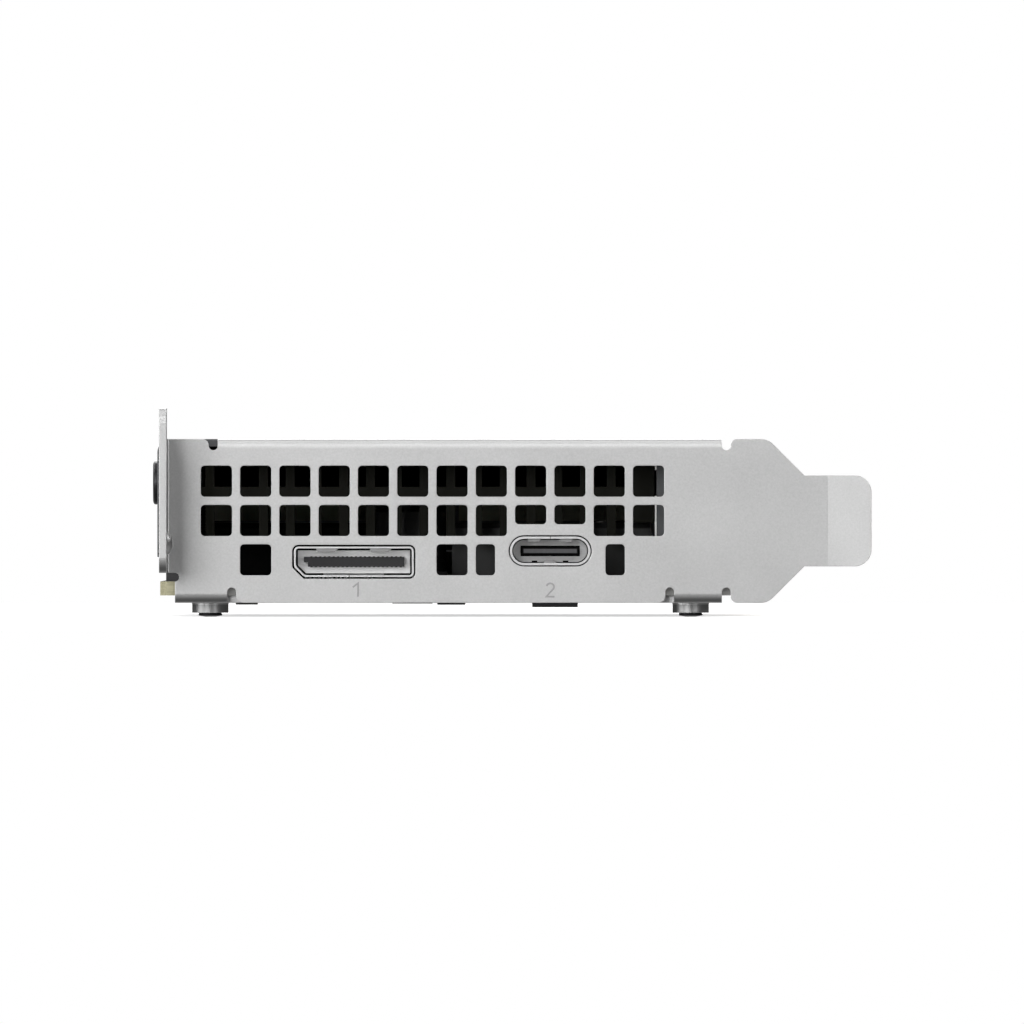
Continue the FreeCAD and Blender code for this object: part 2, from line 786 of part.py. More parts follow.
def link_outline(grow):
    """Corners of the cable port's outline, with one sloped corner, moved out by a distance."""
    slope = "link_chamfer - 0.4142 * (%s)" % grow
    left, right = "link_left - (%s)" % grow, "link_right + (%s)" % grow
    low, high = "link_low - (%s)" % grow, "link_high + (%s)" % grow
    radius = "link_r + (%s)" % grow
    return [
        ("link_left + %s" % slope, low, "link_r"),
        (right, low, radius),
        (right, high, radius),
        (left, high, radius),
        (left, "link_low + %s" % slope, "link_r"),
    ]


def type_c_outline(sketch, grow):
    """The round-ended port's outline, moved out by a distance."""
    half = "(type_c_w - type_c_h) / 2"
    ends = [("type_c_x %s %s" % (sign, half), "type_c_z") for sign in "-+"]
    stadium(sketch, ends[0], ends[1], "type_c_h / 2 + (%s)" % grow)


def slot_bracket():
    """The folded steel bracket: one sheet with plate, tongue, screw tab, flange and board tabs."""
    body = new_body("slot_bracket")
    bracket_outline(body)
    bracket_ear(body)
    bracket_folds(body)
    bracket_collars(body)
    bracket_vents(body)
    ports = sketch_on(body, "XZ", "port_windows")
    loop(ports, link_outline("link_gap"))
    type_c_outline(ports, "type_c_gap")
    pocket(body, ports, "sheet_t")


def bracket_screws():
    """Two pan-head screws through the board into the collars."""
    length = "board_t + sheet_t + collar_drop + tab_tip_drop"
    group("bracket_screws", [
        screw("_bracket_screw_" + side, x, "tab_screw_y", "0", "Z", "1",
              ("tab_head_r", "tab_head_h", "tab_head_slope"), ("tab_shank_r", length))
        for side, x in (("near", "near_screw_x"), ("far", "far_screw_x"))
    ])


POSTS = [
    ("post_middle_x", "post_front_y"),
    ("post_middle_x", "post_middle_y"),
    ("post_left_x", "post_rear_y"),
    ("post_right_x", "post_rear_y"),
]
BAYS = {
    "left": ("left_bay_x", "left_bay_y"),
    "right": ("right_bay_x", "right_bay_y"),
}


def drive_end(bay_y):
    """Where the far end of a drive lies, which its standoff holds."""
    return "%s + socket_depth - drive_insert + drive_length" % bay_y


def circuit_board():
    """The board: a stepped outline with the edge tab, key slot, bevelled edge and screw holes."""
    body = new_body("circuit_board")
    outline = sketch_on(body, "XY", "outline", z="-board_t")
    key = "edge_start + edge_short"
    edge_stop = "%s + key_w + edge_long" % key
    key_floor = "%s - key_depth" % EDGE_X
    loop(outline, [
        ("board_left", "%s + board_step_y" % BOARD_FRONT),
        ("board_step_x", "%s + board_step_y" % BOARD_FRONT, "board_step_r"),
        ("board_step_x", BOARD_FRONT),
        ("foot_right", BOARD_FRONT),
        ("foot_right", "foot_end", "board_r"),
        ("board_right", "foot_end", "board_r"),
        ("board_right", "edge_start"),
        (EDGE_X, "edge_start", "bevel"),
        (EDGE_X, key),
        (key_floor, key, "key_w * 0.48"),
        (key_floor, "%s + key_w" % key, "key_w * 0.48"),
        (EDGE_X, "%s + key_w" % key),
        (EDGE_X, edge_stop, "bevel"),
        ("board_right", edge_stop),
        ("board_right", "board_end", "board_r"),
        ("board_left", "board_end", "board_r"),
    ])
    pad(body, outline, "board_t")
    holes = sketch_on(body, "XY", "holes", z="-board_t")
    for x in ("near_screw_x", "far_screw_x"):
        circle(holes, x, "tab_screw_y", "tab_shank_r + 0.15")
    for x, y in POSTS:
        circle(holes, x, y, "sink_shank_r + 0.15")
    pocket(body, holes, "board_t")
    ease(body, "edge_bevel", "Chamfer", "bevel", [{"x": EDGE_X, "z": "0"}, {"x": EDGE_X, "z": "-board_t"}], "y")


def edge_contacts():
    """Rows of gold contacts on both faces of the edge tab, either side of the key slot."""
    bodies = []
    rows = {
        "short": ("edge_start", "short_contacts"),
        "long": ("edge_start + edge_short + key_w", "long_contacts"),
    }
    faces = {"upper": "0", "lower": "-board_t - contact_t"}
    for face, z in faces.items():
        for name, (start, count) in rows.items():
            body = new_body("_contacts_%s_%s" % (face, name))
            finger = sketch_on(body, "XY", "finger", z=z)
            far = "%s - contact_inset" % EDGE_X
            near = "%s + contact_margin" % start
            rectangle(finger, "%s - contact_length" % far, far, near, "%s + contact_w" % near)
            repeat(body, pad(body, finger, "contact_t"), "Y", count, "contact_pitch")
            bodies.append(body)
    group("edge_contacts", bodies)


def heat_sink():
    """The extruded heat sink: base, side walls, upper fins and a front comb of lower fins."""
    body = new_body("heat_sink")
    length = "sink_end - sink_front"
    section = sketch_on(body, "XZ", "section", y="sink_front")
    loop(section, [
        (SINK_LEFT, "sink_wall_low"),
        ("sink_wall_left", "sink_wall_low"),
        ("sink_wall_left", "sink_base_low"),
        ("sink_wall_right", "sink_base_low"),
        ("sink_wall_right", "sink_wall_low"),
        (SINK_RIGHT, "sink_wall_low"),
        (SINK_RIGHT, "fin_top"),
        ("sink_wall_right", "fin_top"),
        ("sink_wall_right", "sink_base_high"),
        ("sink_wall_left", "sink_base_high"),
        ("sink_wall_left", "fin_top"),
        (SINK_LEFT, "fin_top"),
    ])
    pad(body, section, length)
    fin = sketch_on(body, "XZ", "fin", y="sink_front")
    rectangle(fin, "fin_left", "fin_left + fin_t", "sink_base_high", "fin_top")
    repeat(body, pad(body, fin, length), "X", "fin_count", "fin_pitch")
    tooth = sketch_on(body, "XZ", "tooth", y="sink_front")
    rectangle(tooth, "fin_left", "fin_left + fin_t", "fin_low", "sink_base_low")
    repeat(body, pad(body, tooth, "comb_depth"), "X", "fin_count", "fin_pitch")
    threads = sketch_on(body, "YZ", "side_threads", x=SINK_LEFT)
    for y in ("side_screw_front", "side_screw_front + side_screw_pitch"):
        circle(threads, y, "side_screw_z", "side_shank_r + 0.02")
    thread_depth = "side_shank_length - cover_t - cover_gap + 0.02"
    pocket(body, threads, thread_depth)
    far_threads = sketch_on(body, "YZ", "far_side_threads", x="%s - (%s)" % (SINK_RIGHT, thread_depth))
    for y in ("side_screw_front", "side_screw_front + side_screw_pitch"):
        circle(far_threads, y, "side_screw_z", "side_shank_r + 0.02")
    pocket(body, far_threads, thread_depth)
    studs = sketch_on(body, "XY", "stud_holes", z="sink_base_low")
    for x, y in POSTS:
        circle(studs, x, y, "post_stud_r + 0.02")
    pocket(body, studs, "post_stud_h + 0.1")


def cover():
    """The folded cover over the heat sink: a top, two skirts with rounded lower corners and a rear flap."""
    body = new_body("cover")
    section = sketch_on(body, "XZ", "section", y="cover_front")
    loop(section, [
        ("cover_left", "cover_low"),
        ("cover_left + cover_t", "cover_low"),
        ("cover_left + cover_t", "plate_top - cover_t", "cover_r - cover_t"),
        ("cover_right - cover_t", "plate_top - cover_t", "cover_r - cover_t"),
        ("cover_right - cover_t", "cover_low"),
        ("cover_right", "cover_low"),
        ("cover_right", "plate_top", "cover_r"),
        ("cover_left", "plate_top", "cover_r"),
    ])
    end = "sink_end + cover_overhang"
    pad(body, section, "%s - cover_front" % end)
    left, right = "cover_left + flap_inset", "cover_right - flap_inset"
    flap = sketch_on(body, "XY", "flap", z="flap_low")
    rectangle(flap, left, right, "%s - cover_t" % end, end)
    pad(body, flap, "plate_top - flap_low")
    wings = sketch_on(body, "XY", "flap_wings", z="flap_low")
    rectangle(wings, "cover_left + flap_wing_inset", "cover_right - flap_wing_inset", "%s - cover_t" % end, end)
    pad(body, wings, "flap_wing_top - flap_low")
    reliefs = sketch_on(body, "XY", "flap_reliefs", z="plate_top - cover_t")
    for x in ("%s - flap_relief_w" % left, right):
        rectangle(reliefs, x, "%s + flap_relief_w" % x, "%s - flap_relief_depth" % end, "%s + cover_t" % end)
    pocket(body, reliefs, "cover_t")
    ease(body, "flap_bend_outer", "Fillet", "cover_r", [{"y": end, "z": "plate_top", "x": (left, right)}], "x")
    inner = {"y": "%s - cover_t" % end, "z": "plate_top - cover_t", "x": (left, right)}
    ease(body, "flap_bend_inner", "Fillet", "cover_r - cover_t", [inner], "x")
    holes = sketch_on(body, "YZ", "screw_holes", x="cover_left")
    for y in ("side_screw_front", "side_screw_front + side_screw_pitch"):
        circle(holes, y, "side_screw_z", "side_shank_r + 0.15")
    pocket(body, holes, "cover_right - cover_left")
    lower = [
        {"y": y, "z": "cover_low", "x": span}
        for y in ("cover_front", end)
        for span in (("cover_left", "cover_left + cover_t"), ("cover_right - cover_t", "cover_right"))
    ]
    ease(body, "skirt_corners", "Fillet", "skirt_r", lower, "x")


def cover_screws():
    """Low-head screws through the skirts into the heat sink's walls."""
    sides = {"near": ("cover_left", "-1"), "far": ("cover_right", "1")}
    rows = {"front": "side_screw_front", "rear": "side_screw_front + side_screw_pitch"}
    group("cover_screws", [
        screw("_cover_screw_%s_%s" % (side, row), x, y, "side_screw_z", "X", sign,
              ("side_head_r", "side_head_h", "side_head_h / 3"), ("side_shank_r", "side_shank_length"))
        for side, (x, sign) in sides.items() for row, y in rows.items()
    ])


def heat_sink_standoffs():
    """Turned spacers between board and heat sink, with a stud above and a tapped bore below."""
    bodies = []
    for index, (x, y) in enumerate(POSTS):
        body = new_body("_standoff_%d" % index)
        profile = sketch_on(body, "XZ", "profile", x, y, "0")
        loop(profile, [
            ("sink_shank_r + 0.02", "0"),
            ("post_r", "0"),
            ("post_r", "sink_base_low"),
            ("post_stud_r", "sink_base_low"),
            ("post_stud_r", "sink_base_low + post_stud_h"),
            ("0", "sink_base_low + post_stud_h"),
            ("0", "post_bore_depth"),
            ("sink_shank_r + 0.02", "post_bore_depth"),
        ])
        turn(body, profile, "V_Axis")
        bodies.append(body)
    group("heat_sink_standoffs", bodies)


def heat_sink_screws():
    """Thin-head screws from below, through the board into the spacers."""
    group("heat_sink_screws", [
        screw("_sink_screw_%d" % index, x, y, "-board_t", "Z", "-1",
              ("sink_head_r", "sink_head_h", "sink_head_h / 3"), ("sink_shank_r", "sink_shank_length"))
        for index, (x, y) in enumerate(POSTS)
    ])


def link_port():
    """The cable port: drawn shell with latch springs, back plate, tongue moulding and contacts."""
    shell = new_body("link_port_shell")
    ring = sketch_on(shell, "XZ", "ring", y="port_front")
    loop(ring, link_outline("0"))
    loop(ring, link_outline("-link_t"))
    pad(shell, ring, "link_depth")
    springs = sketch_on(shell, "XZ", "springs", y="port_front + link_t")
    for x in ("link_left + latch_inset", "link_right - latch_inset - latch_w"):
        loop(springs, [
            (x, "link_high - link_t"),
            ("%s + latch_h / 2" % x, "link_high - link_t - latch_h"),
            ("%s + latch_w - latch_h" % x, "link_high - link_t - latch_h"),
            ("%s + latch_w" % x, "link_high - link_t"),
        ])
    pad(shell, springs, "link_plate_y - port_front - 2 * link_t")
    legs = sketch_on(shell, "XY", "legs")
    for x in ("link_left", "link_right - link_t"):
        for y in ("port_front + 3 * leg_w", "port_front + link_depth - 2 * leg_w"):
            rectangle(legs, x, "%s + link_t" % x, y, "%s + leg_w" % y)
    pad(shell, legs, "(link_low + link_high) / 2")

    plate = new_body("link_port_back_plate")
    face = sketch_on(plate, "XZ", "face", y="link_plate_y")
    loop(face, link_outline("-(link_t + link_plate_gap)"))
    rectangle(face, "link_tongue_left - 0.02", "link_tongue_right + 0.02",
              "link_tongue_low - link_tooth_h - 0.02", "link_tongue_high + link_tooth_h + 0.02")
    pad(plate, face, "plate_t")
    tab = sketch_on(plate, "XZ", "tab", y="link_plate_y")
    rectangle(tab, "link_plate_tab_left", "link_plate_tab_right",
              "link_low + link_t + 0.02", "link_low + link_t + 2 * link_plate_gap")
    pad(plate, tab, "plate_t")

    moulding = new_body("link_port_tongue")
    rear = sketch_on(moulding, "XZ", "rear", y="link_plate_y + plate_t")
    loop(rear, link_outline("-(link_t + 0.02)"))
    pad(moulding, rear, "port_front + link_depth - link_plate_y - plate_t - link_t")
    tongue = sketch_on(moulding, "XZ", "tongue", y="link_tongue_front")
    loop(tongue, [
        ("link_tongue_left", "link_tongue_low + link_step_h"),
        ("link_tongue_left + link_step_w", "link_tongue_low + link_step_h"),
        ("link_tongue_left + link_step_w", "link_tongue_low"),
        ("link_tongue_right", "link_tongue_low"),
        ("link_tongue_right", "link_tongue_high"),
        ("link_tongue_left", "link_tongue_high"),
    ])
    pad(moulding, tongue, "link_plate_y + plate_t - link_tongue_front")
    middle = "(link_tongue_left + link_step_w + link_tongue_right) / 2"
    start = "%s - ((link_contact_count - 1) * link_contact_pitch + link_contact_w) / 2" % middle
    tooth = sketch_on(moulding, "XZ", "tooth", y="link_tongue_front")
    for z in ("link_tongue_high", "link_tongue_low - link_tooth_h"):
        rectangle(tooth, start, "%s + link_contact_w" % start, z, "%s + link_tooth_h" % z)
    first = pad(moulding, tooth, "link_tooth_length")
    repeat(moulding, first, "X", "link_contact_count", "link_contact_pitch")

    rows = {"upper": "link_tongue_high", "lower": "link_tongue_low - link_contact_h"}
    front = "link_tongue_front + link_tooth_length"
    contact_rows("link_port_contacts", rows, start, "link", front, "link_plate_y - 0.1")


def contact_rows(label, rows, start, family, front, back):
    """Rows of flat spring contacts along the faces of a port's tongue."""
    bodies = []
    width, height = family + "_contact_w", family + "_contact_h"
    for name, z in rows.items():
        body = new_body("_%s_%s" % (label, name))
        blade = sketch_on(body, "XZ", "blade", y=front)
        rectangle(blade, start, "%s + %s" % (start, width), z, "%s + %s" % (z, height))
        first = pad(body, blade, "(%s) - (%s)" % (back, front))
        repeat(body, first, "X", family + "_contact_count", family + "_contact_pitch")
        bodies.append(body)
    group(label, bodies)


def type_c_port():
    """The round-ended port on its raised legs: shell, back plate, base moulding, tongue and contacts."""
    shell = new_body("type_c_port_shell")
    ring = sketch_on(shell, "XZ", "ring", y="port_front")
    type_c_outline(ring, "0")
    type_c_outline(ring, "-type_c_t")
    pad(shell, ring, "type_c_depth")
    legs = sketch_on(shell, "XY", "legs")
    for x in ("type_c_x - type_c_w / 2", "type_c_x + type_c_w / 2 - type_c_t"):
        for y in ("port_front + leg_w", "port_front + type_c_depth - 2 * leg_w"):
            rectangle(legs, x, "%s + type_c_t" % x, y, "%s + leg_w" % y)
    pad(shell, legs, "type_c_z")
    springs = sketch_on(shell, "XZ", "springs", y="port_front + 2 * type_c_t")
    roof, bed = "type_c_z + type_c_h / 2 - type_c_t", "type_c_z - type_c_h / 2 + type_c_t"
    for middle in ("type_c_x - type_c_spring_x", "type_c_x + type_c_spring_x"):
        left, right = "%s - type_c_spring_w / 2" % middle, "%s + type_c_spring_w / 2" % middle
        rectangle(springs, left, right, "%s - type_c_spring_h" % roof, roof)
    left, right = "type_c_x - type_c_spring_w / 2", "type_c_x + type_c_spring_w / 2"
    top = "%s + type_c_spring_h" % bed
    loop(springs, [(left, bed), (right, bed), ("%s - type_c_spring_h" % right, top), (left, top)])
    pad(shell, springs, "type_c_plate_y - port_front - 3 * type_c_t")

    plate = new_body("type_c_port_back_plate")
    face = sketch_on(plate, "XZ", "face", y="type_c_plate_y")
    type_c_outline(face, "-(type_c_t + type_c_plate_gap)")
    rectangle(face, "type_c_x - type_c_window_w / 2", "type_c_x + type_c_window_w / 2",
              "type_c_z - type_c_window_h / 2", "type_c_z + type_c_window_h / 2")
    pad(plate, face, "plate_t")

    moulding = new_body("type_c_port_tongue")
    rear = sketch_on(moulding, "XZ", "rear", y="type_c_plate_y + plate_t")
    type_c_outline(rear, "-(type_c_t + 0.02)")
    pad(moulding, rear, "port_front + type_c_depth - type_c_plate_y - plate_t")
    tongue = sketch_on(moulding, "XZ", "tongue", y="type_c_tongue_front")
    rectangle(tongue, "type_c_x - type_c_tongue_w / 2", "type_c_x + type_c_tongue_w / 2",
              "type_c_z - type_c_tongue_h / 2", "type_c_z + type_c_tongue_h / 2")
    pad(moulding, tongue, "type_c_plate_y + plate_t - type_c_tongue_front")

    rows = {
        "upper": "type_c_z + type_c_tongue_h / 2",
        "lower": "type_c_z - type_c_tongue_h / 2 - type_c_contact_h",
    }
    span = "((type_c_contact_count - 1) * type_c_contact_pitch + type_c_contact_w) / 2"
    contact_rows("type_c_port_contacts", rows, "type_c_x - %s" % span, "type_c",
                 "type_c_tongue_front + type_c_contact_setback", "type_c_plate_y + plate_t")

    base = "type_c_z - type_c_h / 2"
    block("type_c_port_riser", "type_c_x - type_c_w / 2 + type_c_h / 2", "type_c_x + type_c_w / 2 - type_c_h / 2",
          "port_front + type_c_t + sheet_t + bend_r", "port_front + type_c_depth", "0", base)


def drive_socket(side):
    """A tall card-edge socket with its slot open to the rear and a key rib across the slot."""
    x, y = BAYS[side]
    body = new_body(side + "_drive_socket")
    section = sketch_on(body, "YZ", "section", x="%s - socket_w / 2" % x)
    rear = "%s + socket_depth" % y
    loop(section, [
        (y, "0"),
        (rear, "0"),
        (rear, "socket_slot_low - socket_chamfer"),
        ("%s - socket_chamfer" % rear, "socket_slot_low"),
        ("%s - socket_slot_depth" % rear, "socket_slot_low"),
        ("%s - socket_slot_depth" % rear, "socket_slot_low + socket_slot_h"),
        ("%s - 2 * socket_chamfer" % rear, "socket_slot_low + socket_slot_h"),
        ("%s - 2 * socket_chamfer" % rear, "socket_h"),
        ("%s + socket_chamfer" % y, "socket_h"),
        (y, "socket_h - socket_chamfer"),
    ])
    pad(body, section, "socket_w")
    cheeks = sketch_on(body, "XY", "cheeks", z="socket_slot_low")
    inner = "%s - socket_slot_depth" % rear
    outer = "%s - 2 * socket_chamfer" % rear
    key = "%s + socket_key_offset" % x
    rectangle(cheeks, "%s - socket_w / 2" % x, "%s - socket_slot_w / 2" % x, inner, outer)
    rectangle(cheeks, "%s + socket_slot_w / 2" % x, "%s + socket_w / 2" % x, inner, outer)
    rectangle(cheeks, "%s - socket_key_w / 2" % key, "%s + socket_key_w / 2" % key, inner, outer)
    pad(body, cheeks, "socket_slot_h")


def drive_standoffs():
    """Flanged spacers that hold the far ends of the drives, with a tapped bore."""
    bodies = []
    for side, (x, y) in BAYS.items():
        body = new_body("_drive_standoff_" + side)
        profile = sketch_on(body, "XZ", "profile", x, drive_end(y), "0")
        loop(profile, [
            ("spacer_bore_r", "0"),
            ("spacer_foot_r", "0"),
            ("spacer_foot_r", "spacer_foot_h"),
            ("spacer_r", "spacer_foot_h"),
            ("spacer_r", "socket_slot_low"),
            ("spacer_bore_r", "socket_slot_low"),
        ])
        turn(body, profile, "V_Axis")
        bodies.append(body)
    group("drive_standoffs", bodies)


def drive_screws():
    """The screws that wait in the drive standoffs."""
    group("drive_screws", [
        screw("_drive_screw_" + side, x, drive_end(y), "socket_slot_low", "Z", "1",
              ("drive_head_r", "drive_head_h", "drive_head_h / 3"), ("drive_shank_r", "drive_shank_length"))
        for side, (x, y) in BAYS.items()
    ])


def thermal_pads():
    """Soft pads on the heat sink's underside, one over each drive."""
    for side, (x, y) in BAYS.items():
        front = "%s + socket_depth + pad_setback" % y
        left = "%s - socket_w / 2 + pad_shift" % x
        block(side + "_thermal_pad", left, "%s + %s_pad_w" % (left, side),
              front, "%s + pad_length" % front, "sink_base_low - pad_t", "sink_base_low")


def bulk_capacitor():
    """A can capacitor with a rolled groove, on its square base."""
    half = "can_base_w / 2"
    block("capacitor_base", "can_x - %s" % half, "can_x + %s" % half, "can_y - %s" % half, "can_y + %s" % half,
          "0", "can_base_h")
    can = new_body("capacitor_can")
    profile = sketch_on(can, "XZ", "profile", "can_x", "can_y", "can_base_h")
    loop(profile, [
        ("0", "0"),
        ("can_r", "0"),
        ("can_r", "can_base_h"),
        ("can_r - can_groove", "can_base_h + can_groove"),
        ("can_r", "can_base_h + 2 * can_groove"),
        ("can_r", "can_top - can_base_h - can_groove"),
        ("can_r - can_groove", "can_top - can_base_h"),
        ("0", "can_top - can_base_h"),
    ])
    turn(can, profile, "V_Axis")


def component(label, size, above):
    """A plain component on the board's upper or lower face, sized by five values of one family."""
    x, y = size + "_x", size + "_y"
    z0, z1 = ("0", size + "_h") if above else ("-board_t - %s_h" % size, "-board_t")
    return block(label, x, "%s + %s_w" % (x, size), y, "%s + %s_d" % (y, size), z0, z1)


def board_components():
    """The chips and passives that the card needs, above the board and on its lower face."""
    component("flash_chip", "flash", False)
    component("regulator_chip", "regulator", False)
    component("power_switch_chip", "switch", False)
    component("filter_capacitor", "filter", False)
    component("port_controller_chip", "controller", True)
    component("clock_chip", "clock", True)
    component("converter_chip", "converter", True)
    component("power_inductor", "inductor", True)
    component("tantalum_capacitor", "tantalum", True)
    row = component("coupling_capacitors", "ceramic", True)
    repeat(row, row.Tip, "Y", "ceramic_count", "ceramic_pitch")


slot_bracket()
bracket_screws()
circuit_board()
edge_contacts()
heat_sink()
cover()
cover_screws()
heat_sink_standoffs()
heat_sink_screws()
link_port()
type_c_port()
for bay in BAYS:
    drive_socket(bay)
drive_standoffs()
drive_screws()
thermal_pads()
bulk_capacitor()
board_components()
doc.recompute()

for item in doc.Objects:
    if {"Invalid", "Error"} & set(item.State):
        raise RuntimeError("%s failed: %s" % (item.Label, item.State))
os.makedirs("parts", exist_ok=True)
for label, item in NODES.items():
    shape = item.Shape
    if shape.isNull() or not shape.isValid():
        raise RuntimeError("%s has no valid shape" % label)
    shape.exportStep("parts/%s.step" % label)
    print("%-26s %3d solids %10.3f mm3" % (label, len(shape.Solids), shape.Volume))
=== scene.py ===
import json
import math

import bmesh
import bpy
from mathutils import Matrix, Vector


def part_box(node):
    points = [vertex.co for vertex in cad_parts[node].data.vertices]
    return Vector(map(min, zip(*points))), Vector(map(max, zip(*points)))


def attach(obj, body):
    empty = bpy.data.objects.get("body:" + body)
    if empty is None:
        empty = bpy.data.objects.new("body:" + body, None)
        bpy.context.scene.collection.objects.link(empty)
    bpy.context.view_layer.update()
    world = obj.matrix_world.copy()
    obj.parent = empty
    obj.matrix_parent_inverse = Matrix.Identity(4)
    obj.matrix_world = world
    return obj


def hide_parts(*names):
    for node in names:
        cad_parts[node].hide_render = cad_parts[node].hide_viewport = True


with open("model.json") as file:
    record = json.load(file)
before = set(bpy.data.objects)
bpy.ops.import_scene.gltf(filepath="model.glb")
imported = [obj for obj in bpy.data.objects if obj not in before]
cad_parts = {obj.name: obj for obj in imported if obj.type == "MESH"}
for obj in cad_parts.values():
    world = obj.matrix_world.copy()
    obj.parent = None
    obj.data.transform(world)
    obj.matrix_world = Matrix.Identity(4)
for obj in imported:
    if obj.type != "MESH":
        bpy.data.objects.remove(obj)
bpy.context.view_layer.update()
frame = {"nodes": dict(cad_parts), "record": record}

# The card's finishes, its fine pieces and a plain studio, on the frame of CAD nodes

MM = 0.001
# How far the screw tab reaches before the face of the bracket's plate, in millimetres
TAB_REACH = 11.43
BRACKET_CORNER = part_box("slot_bracket")[0]
BOARD_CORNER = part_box("circuit_board")[1]
# The drawing's datum in the frame, in metres: the bracket's left side, its plate's face and the board's top
DATUM = Vector((BRACKET_CORNER.x, BRACKET_CORNER.y + TAB_REACH * MM, BOARD_CORNER.z))


def at(x, y, z):
    """A point of the drawing, in millimetres, as a point of the frame in metres."""
    return DATUM + Vector((x, y, z)) * MM


def extent(node):
    """The lowest and highest corner of a CAD node, in millimetres of the drawing."""
    return [(corner - DATUM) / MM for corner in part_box(node)]


# Places on the card, in millimetres of the drawing

BOARD_LOW = extent("circuit_board")[0].z
LOWER_CHIPS = [extent(chip) for chip in ("flash_chip", "regulator_chip", "power_switch_chip")]
SOCKETS = [extent(socket) for socket in ("left_drive_socket", "right_drive_socket")]
# From a socket's front to the screw at the far end of its drive
DRIVE_REACH = 84.9
# Centres of the heat sink's posts
POSTS = [(30.05, 36.0), (30.05, 76.0), (5.4, 124.0), (50.6, 124.0)]
# Centres of the screws in the bracket's board tabs, and along both of the cover's skirts
BRACKET_SCREWS = [(5.62, 5.6), (59.47, 5.6)]
COVER_SCREW_Y = (16.0, 116.0)
COVER_SCREW_Z = 11.06

# The ports, and the legs of their shells
WIDE_PLATE = extent("link_port_back_plate")
ROUND_PLATE = extent("type_c_port_back_plate")
WIDE_PORT = (WIDE_PLATE[0] + WIDE_PLATE[1]) / 2
ROUND_PORT = (ROUND_PLATE[0] + ROUND_PLATE[1]) / 2
LINK_PORT_LEGS = [(x, y) for x in (15.13, 28.33) for y in (3.25, 10.35)]
TYPE_C_LEGS = [(x, y) for x in (39.3, 48.1) for y in (1.45, 6.15)]

# Edge fingers at 1 mm pitch: a short row before the key and a long one behind it
SHORT_ROW = 11
LONG_ROW = 71
FINGER_W = 0.7
FINGERS = extent("edge_contacts")
FINGER_X = FINGERS[0].x
FINGER_Y = [FINGERS[0].y + FINGER_W / 2 + i for i in range(SHORT_ROW)]
FINGER_Y += [FINGERS[1].y - FINGER_W / 2 - i for i in reversed(range(LONG_ROW))]

# Coupling capacitors, each a little behind the finger that it serves
CERAMICS = extent("coupling_capacitors")
CERAMIC_W = 0.55
CERAMIC_PITCH = 2.0
CERAMIC_COUNT = 32
CERAMIC_Y = [CERAMICS[0].y + CERAMIC_W / 2 + CERAMIC_PITCH * i for i in range(CERAMIC_COUNT)]
FINGER_SHIFT = 0.35


# Shader tools

# Sockets of the colour mix: how far, from, to, and its result
SHARE, FROM, TO, TONE = 0, 6, 7, 2
# How many times longer than wide a streak is
STREAK_LENGTH = 40
# How alike the eased and the true normal are on a flat face, and on a rounded edge
FLAT, ROUNDED = 0.99, 0.8


def srgb(code):
    """An sRGB hex value as linear red, green, blue and alpha."""
    parts = [int(code[i:i + 2], 16) / 255 for i in (1, 3, 5)]
    linear = [v / 12.92 if v <= 0.04045 else ((v + 0.055) / 1.055) ** 2.4 for v in parts]
    return (*linear, 1.0)


def add(tree, kind, inputs=None, **settings):
    """Adds a node with its settings; inputs maps a socket to a value or to another node's output."""
    made = tree.nodes.new("ShaderNode" + kind)
    for name, value in settings.items():
        setattr(made, name, value)
    for socket, value in (inputs or {}).items():
        if isinstance(value, bpy.types.NodeSocket):
            tree.links.new(value, made.inputs[socket])
        else:
            made.inputs[socket].default_value = value
    return made


def start(name, **values):
    """A new material with its shader and object coordinates; values are the shader's constant sockets."""
    material = bpy.data.materials.new(name)
    material.use_nodes = True
    tree = material.node_tree
    tree.nodes.clear()
    shader = add(tree, "BsdfPrincipled", {key.replace("_", " "): value for key, value in values.items()})
    add(tree, "OutputMaterial", {"Surface": shader.outputs["BSDF"]})
    where = add(tree, "TexCoord").outputs["Object"]
    return material, tree, shader, where


def per_mm(size):
    """Texture scale for features of a size in millimetres."""
    return 1.0 / (size * MM)


def streaks(size, along):
    """Texture scale for streaks of a width in millimetres that run along x, y or z."""
    return [per_mm(size * STREAK_LENGTH if axis == along else size) for axis in "xyz"]


def edge_wear_and_highlight(tree, width):
    """The eased normal at edges of a width in millimetres, and a mask of where those edges are."""
    eased = add(tree, "Bevel", {"Radius": width * MM}, samples=4).outputs["Normal"]
    face = add(tree, "NewGeometry").outputs["True Normal"]
    alike = add(tree, "VectorMath", {0: eased, 1: face}, operation="DOT_PRODUCT").outputs["Value"]
    mask = add(tree, "MapRange", {"Value": alike, "From Min": FLAT, "From Max": ROUNDED}).outputs["Result"]
    return eased, mask


def feed(tree, shader, tone, rough, normal=None):
    """Links a colour, a roughness and a normal to the shader."""
    tree.links.new(tone, shader.inputs["Base Color"])
    tree.links.new(rough, shader.inputs["Roughness"])
    if normal is not None:
        tree.links.new(normal, shader.inputs["Normal"])


# Materials

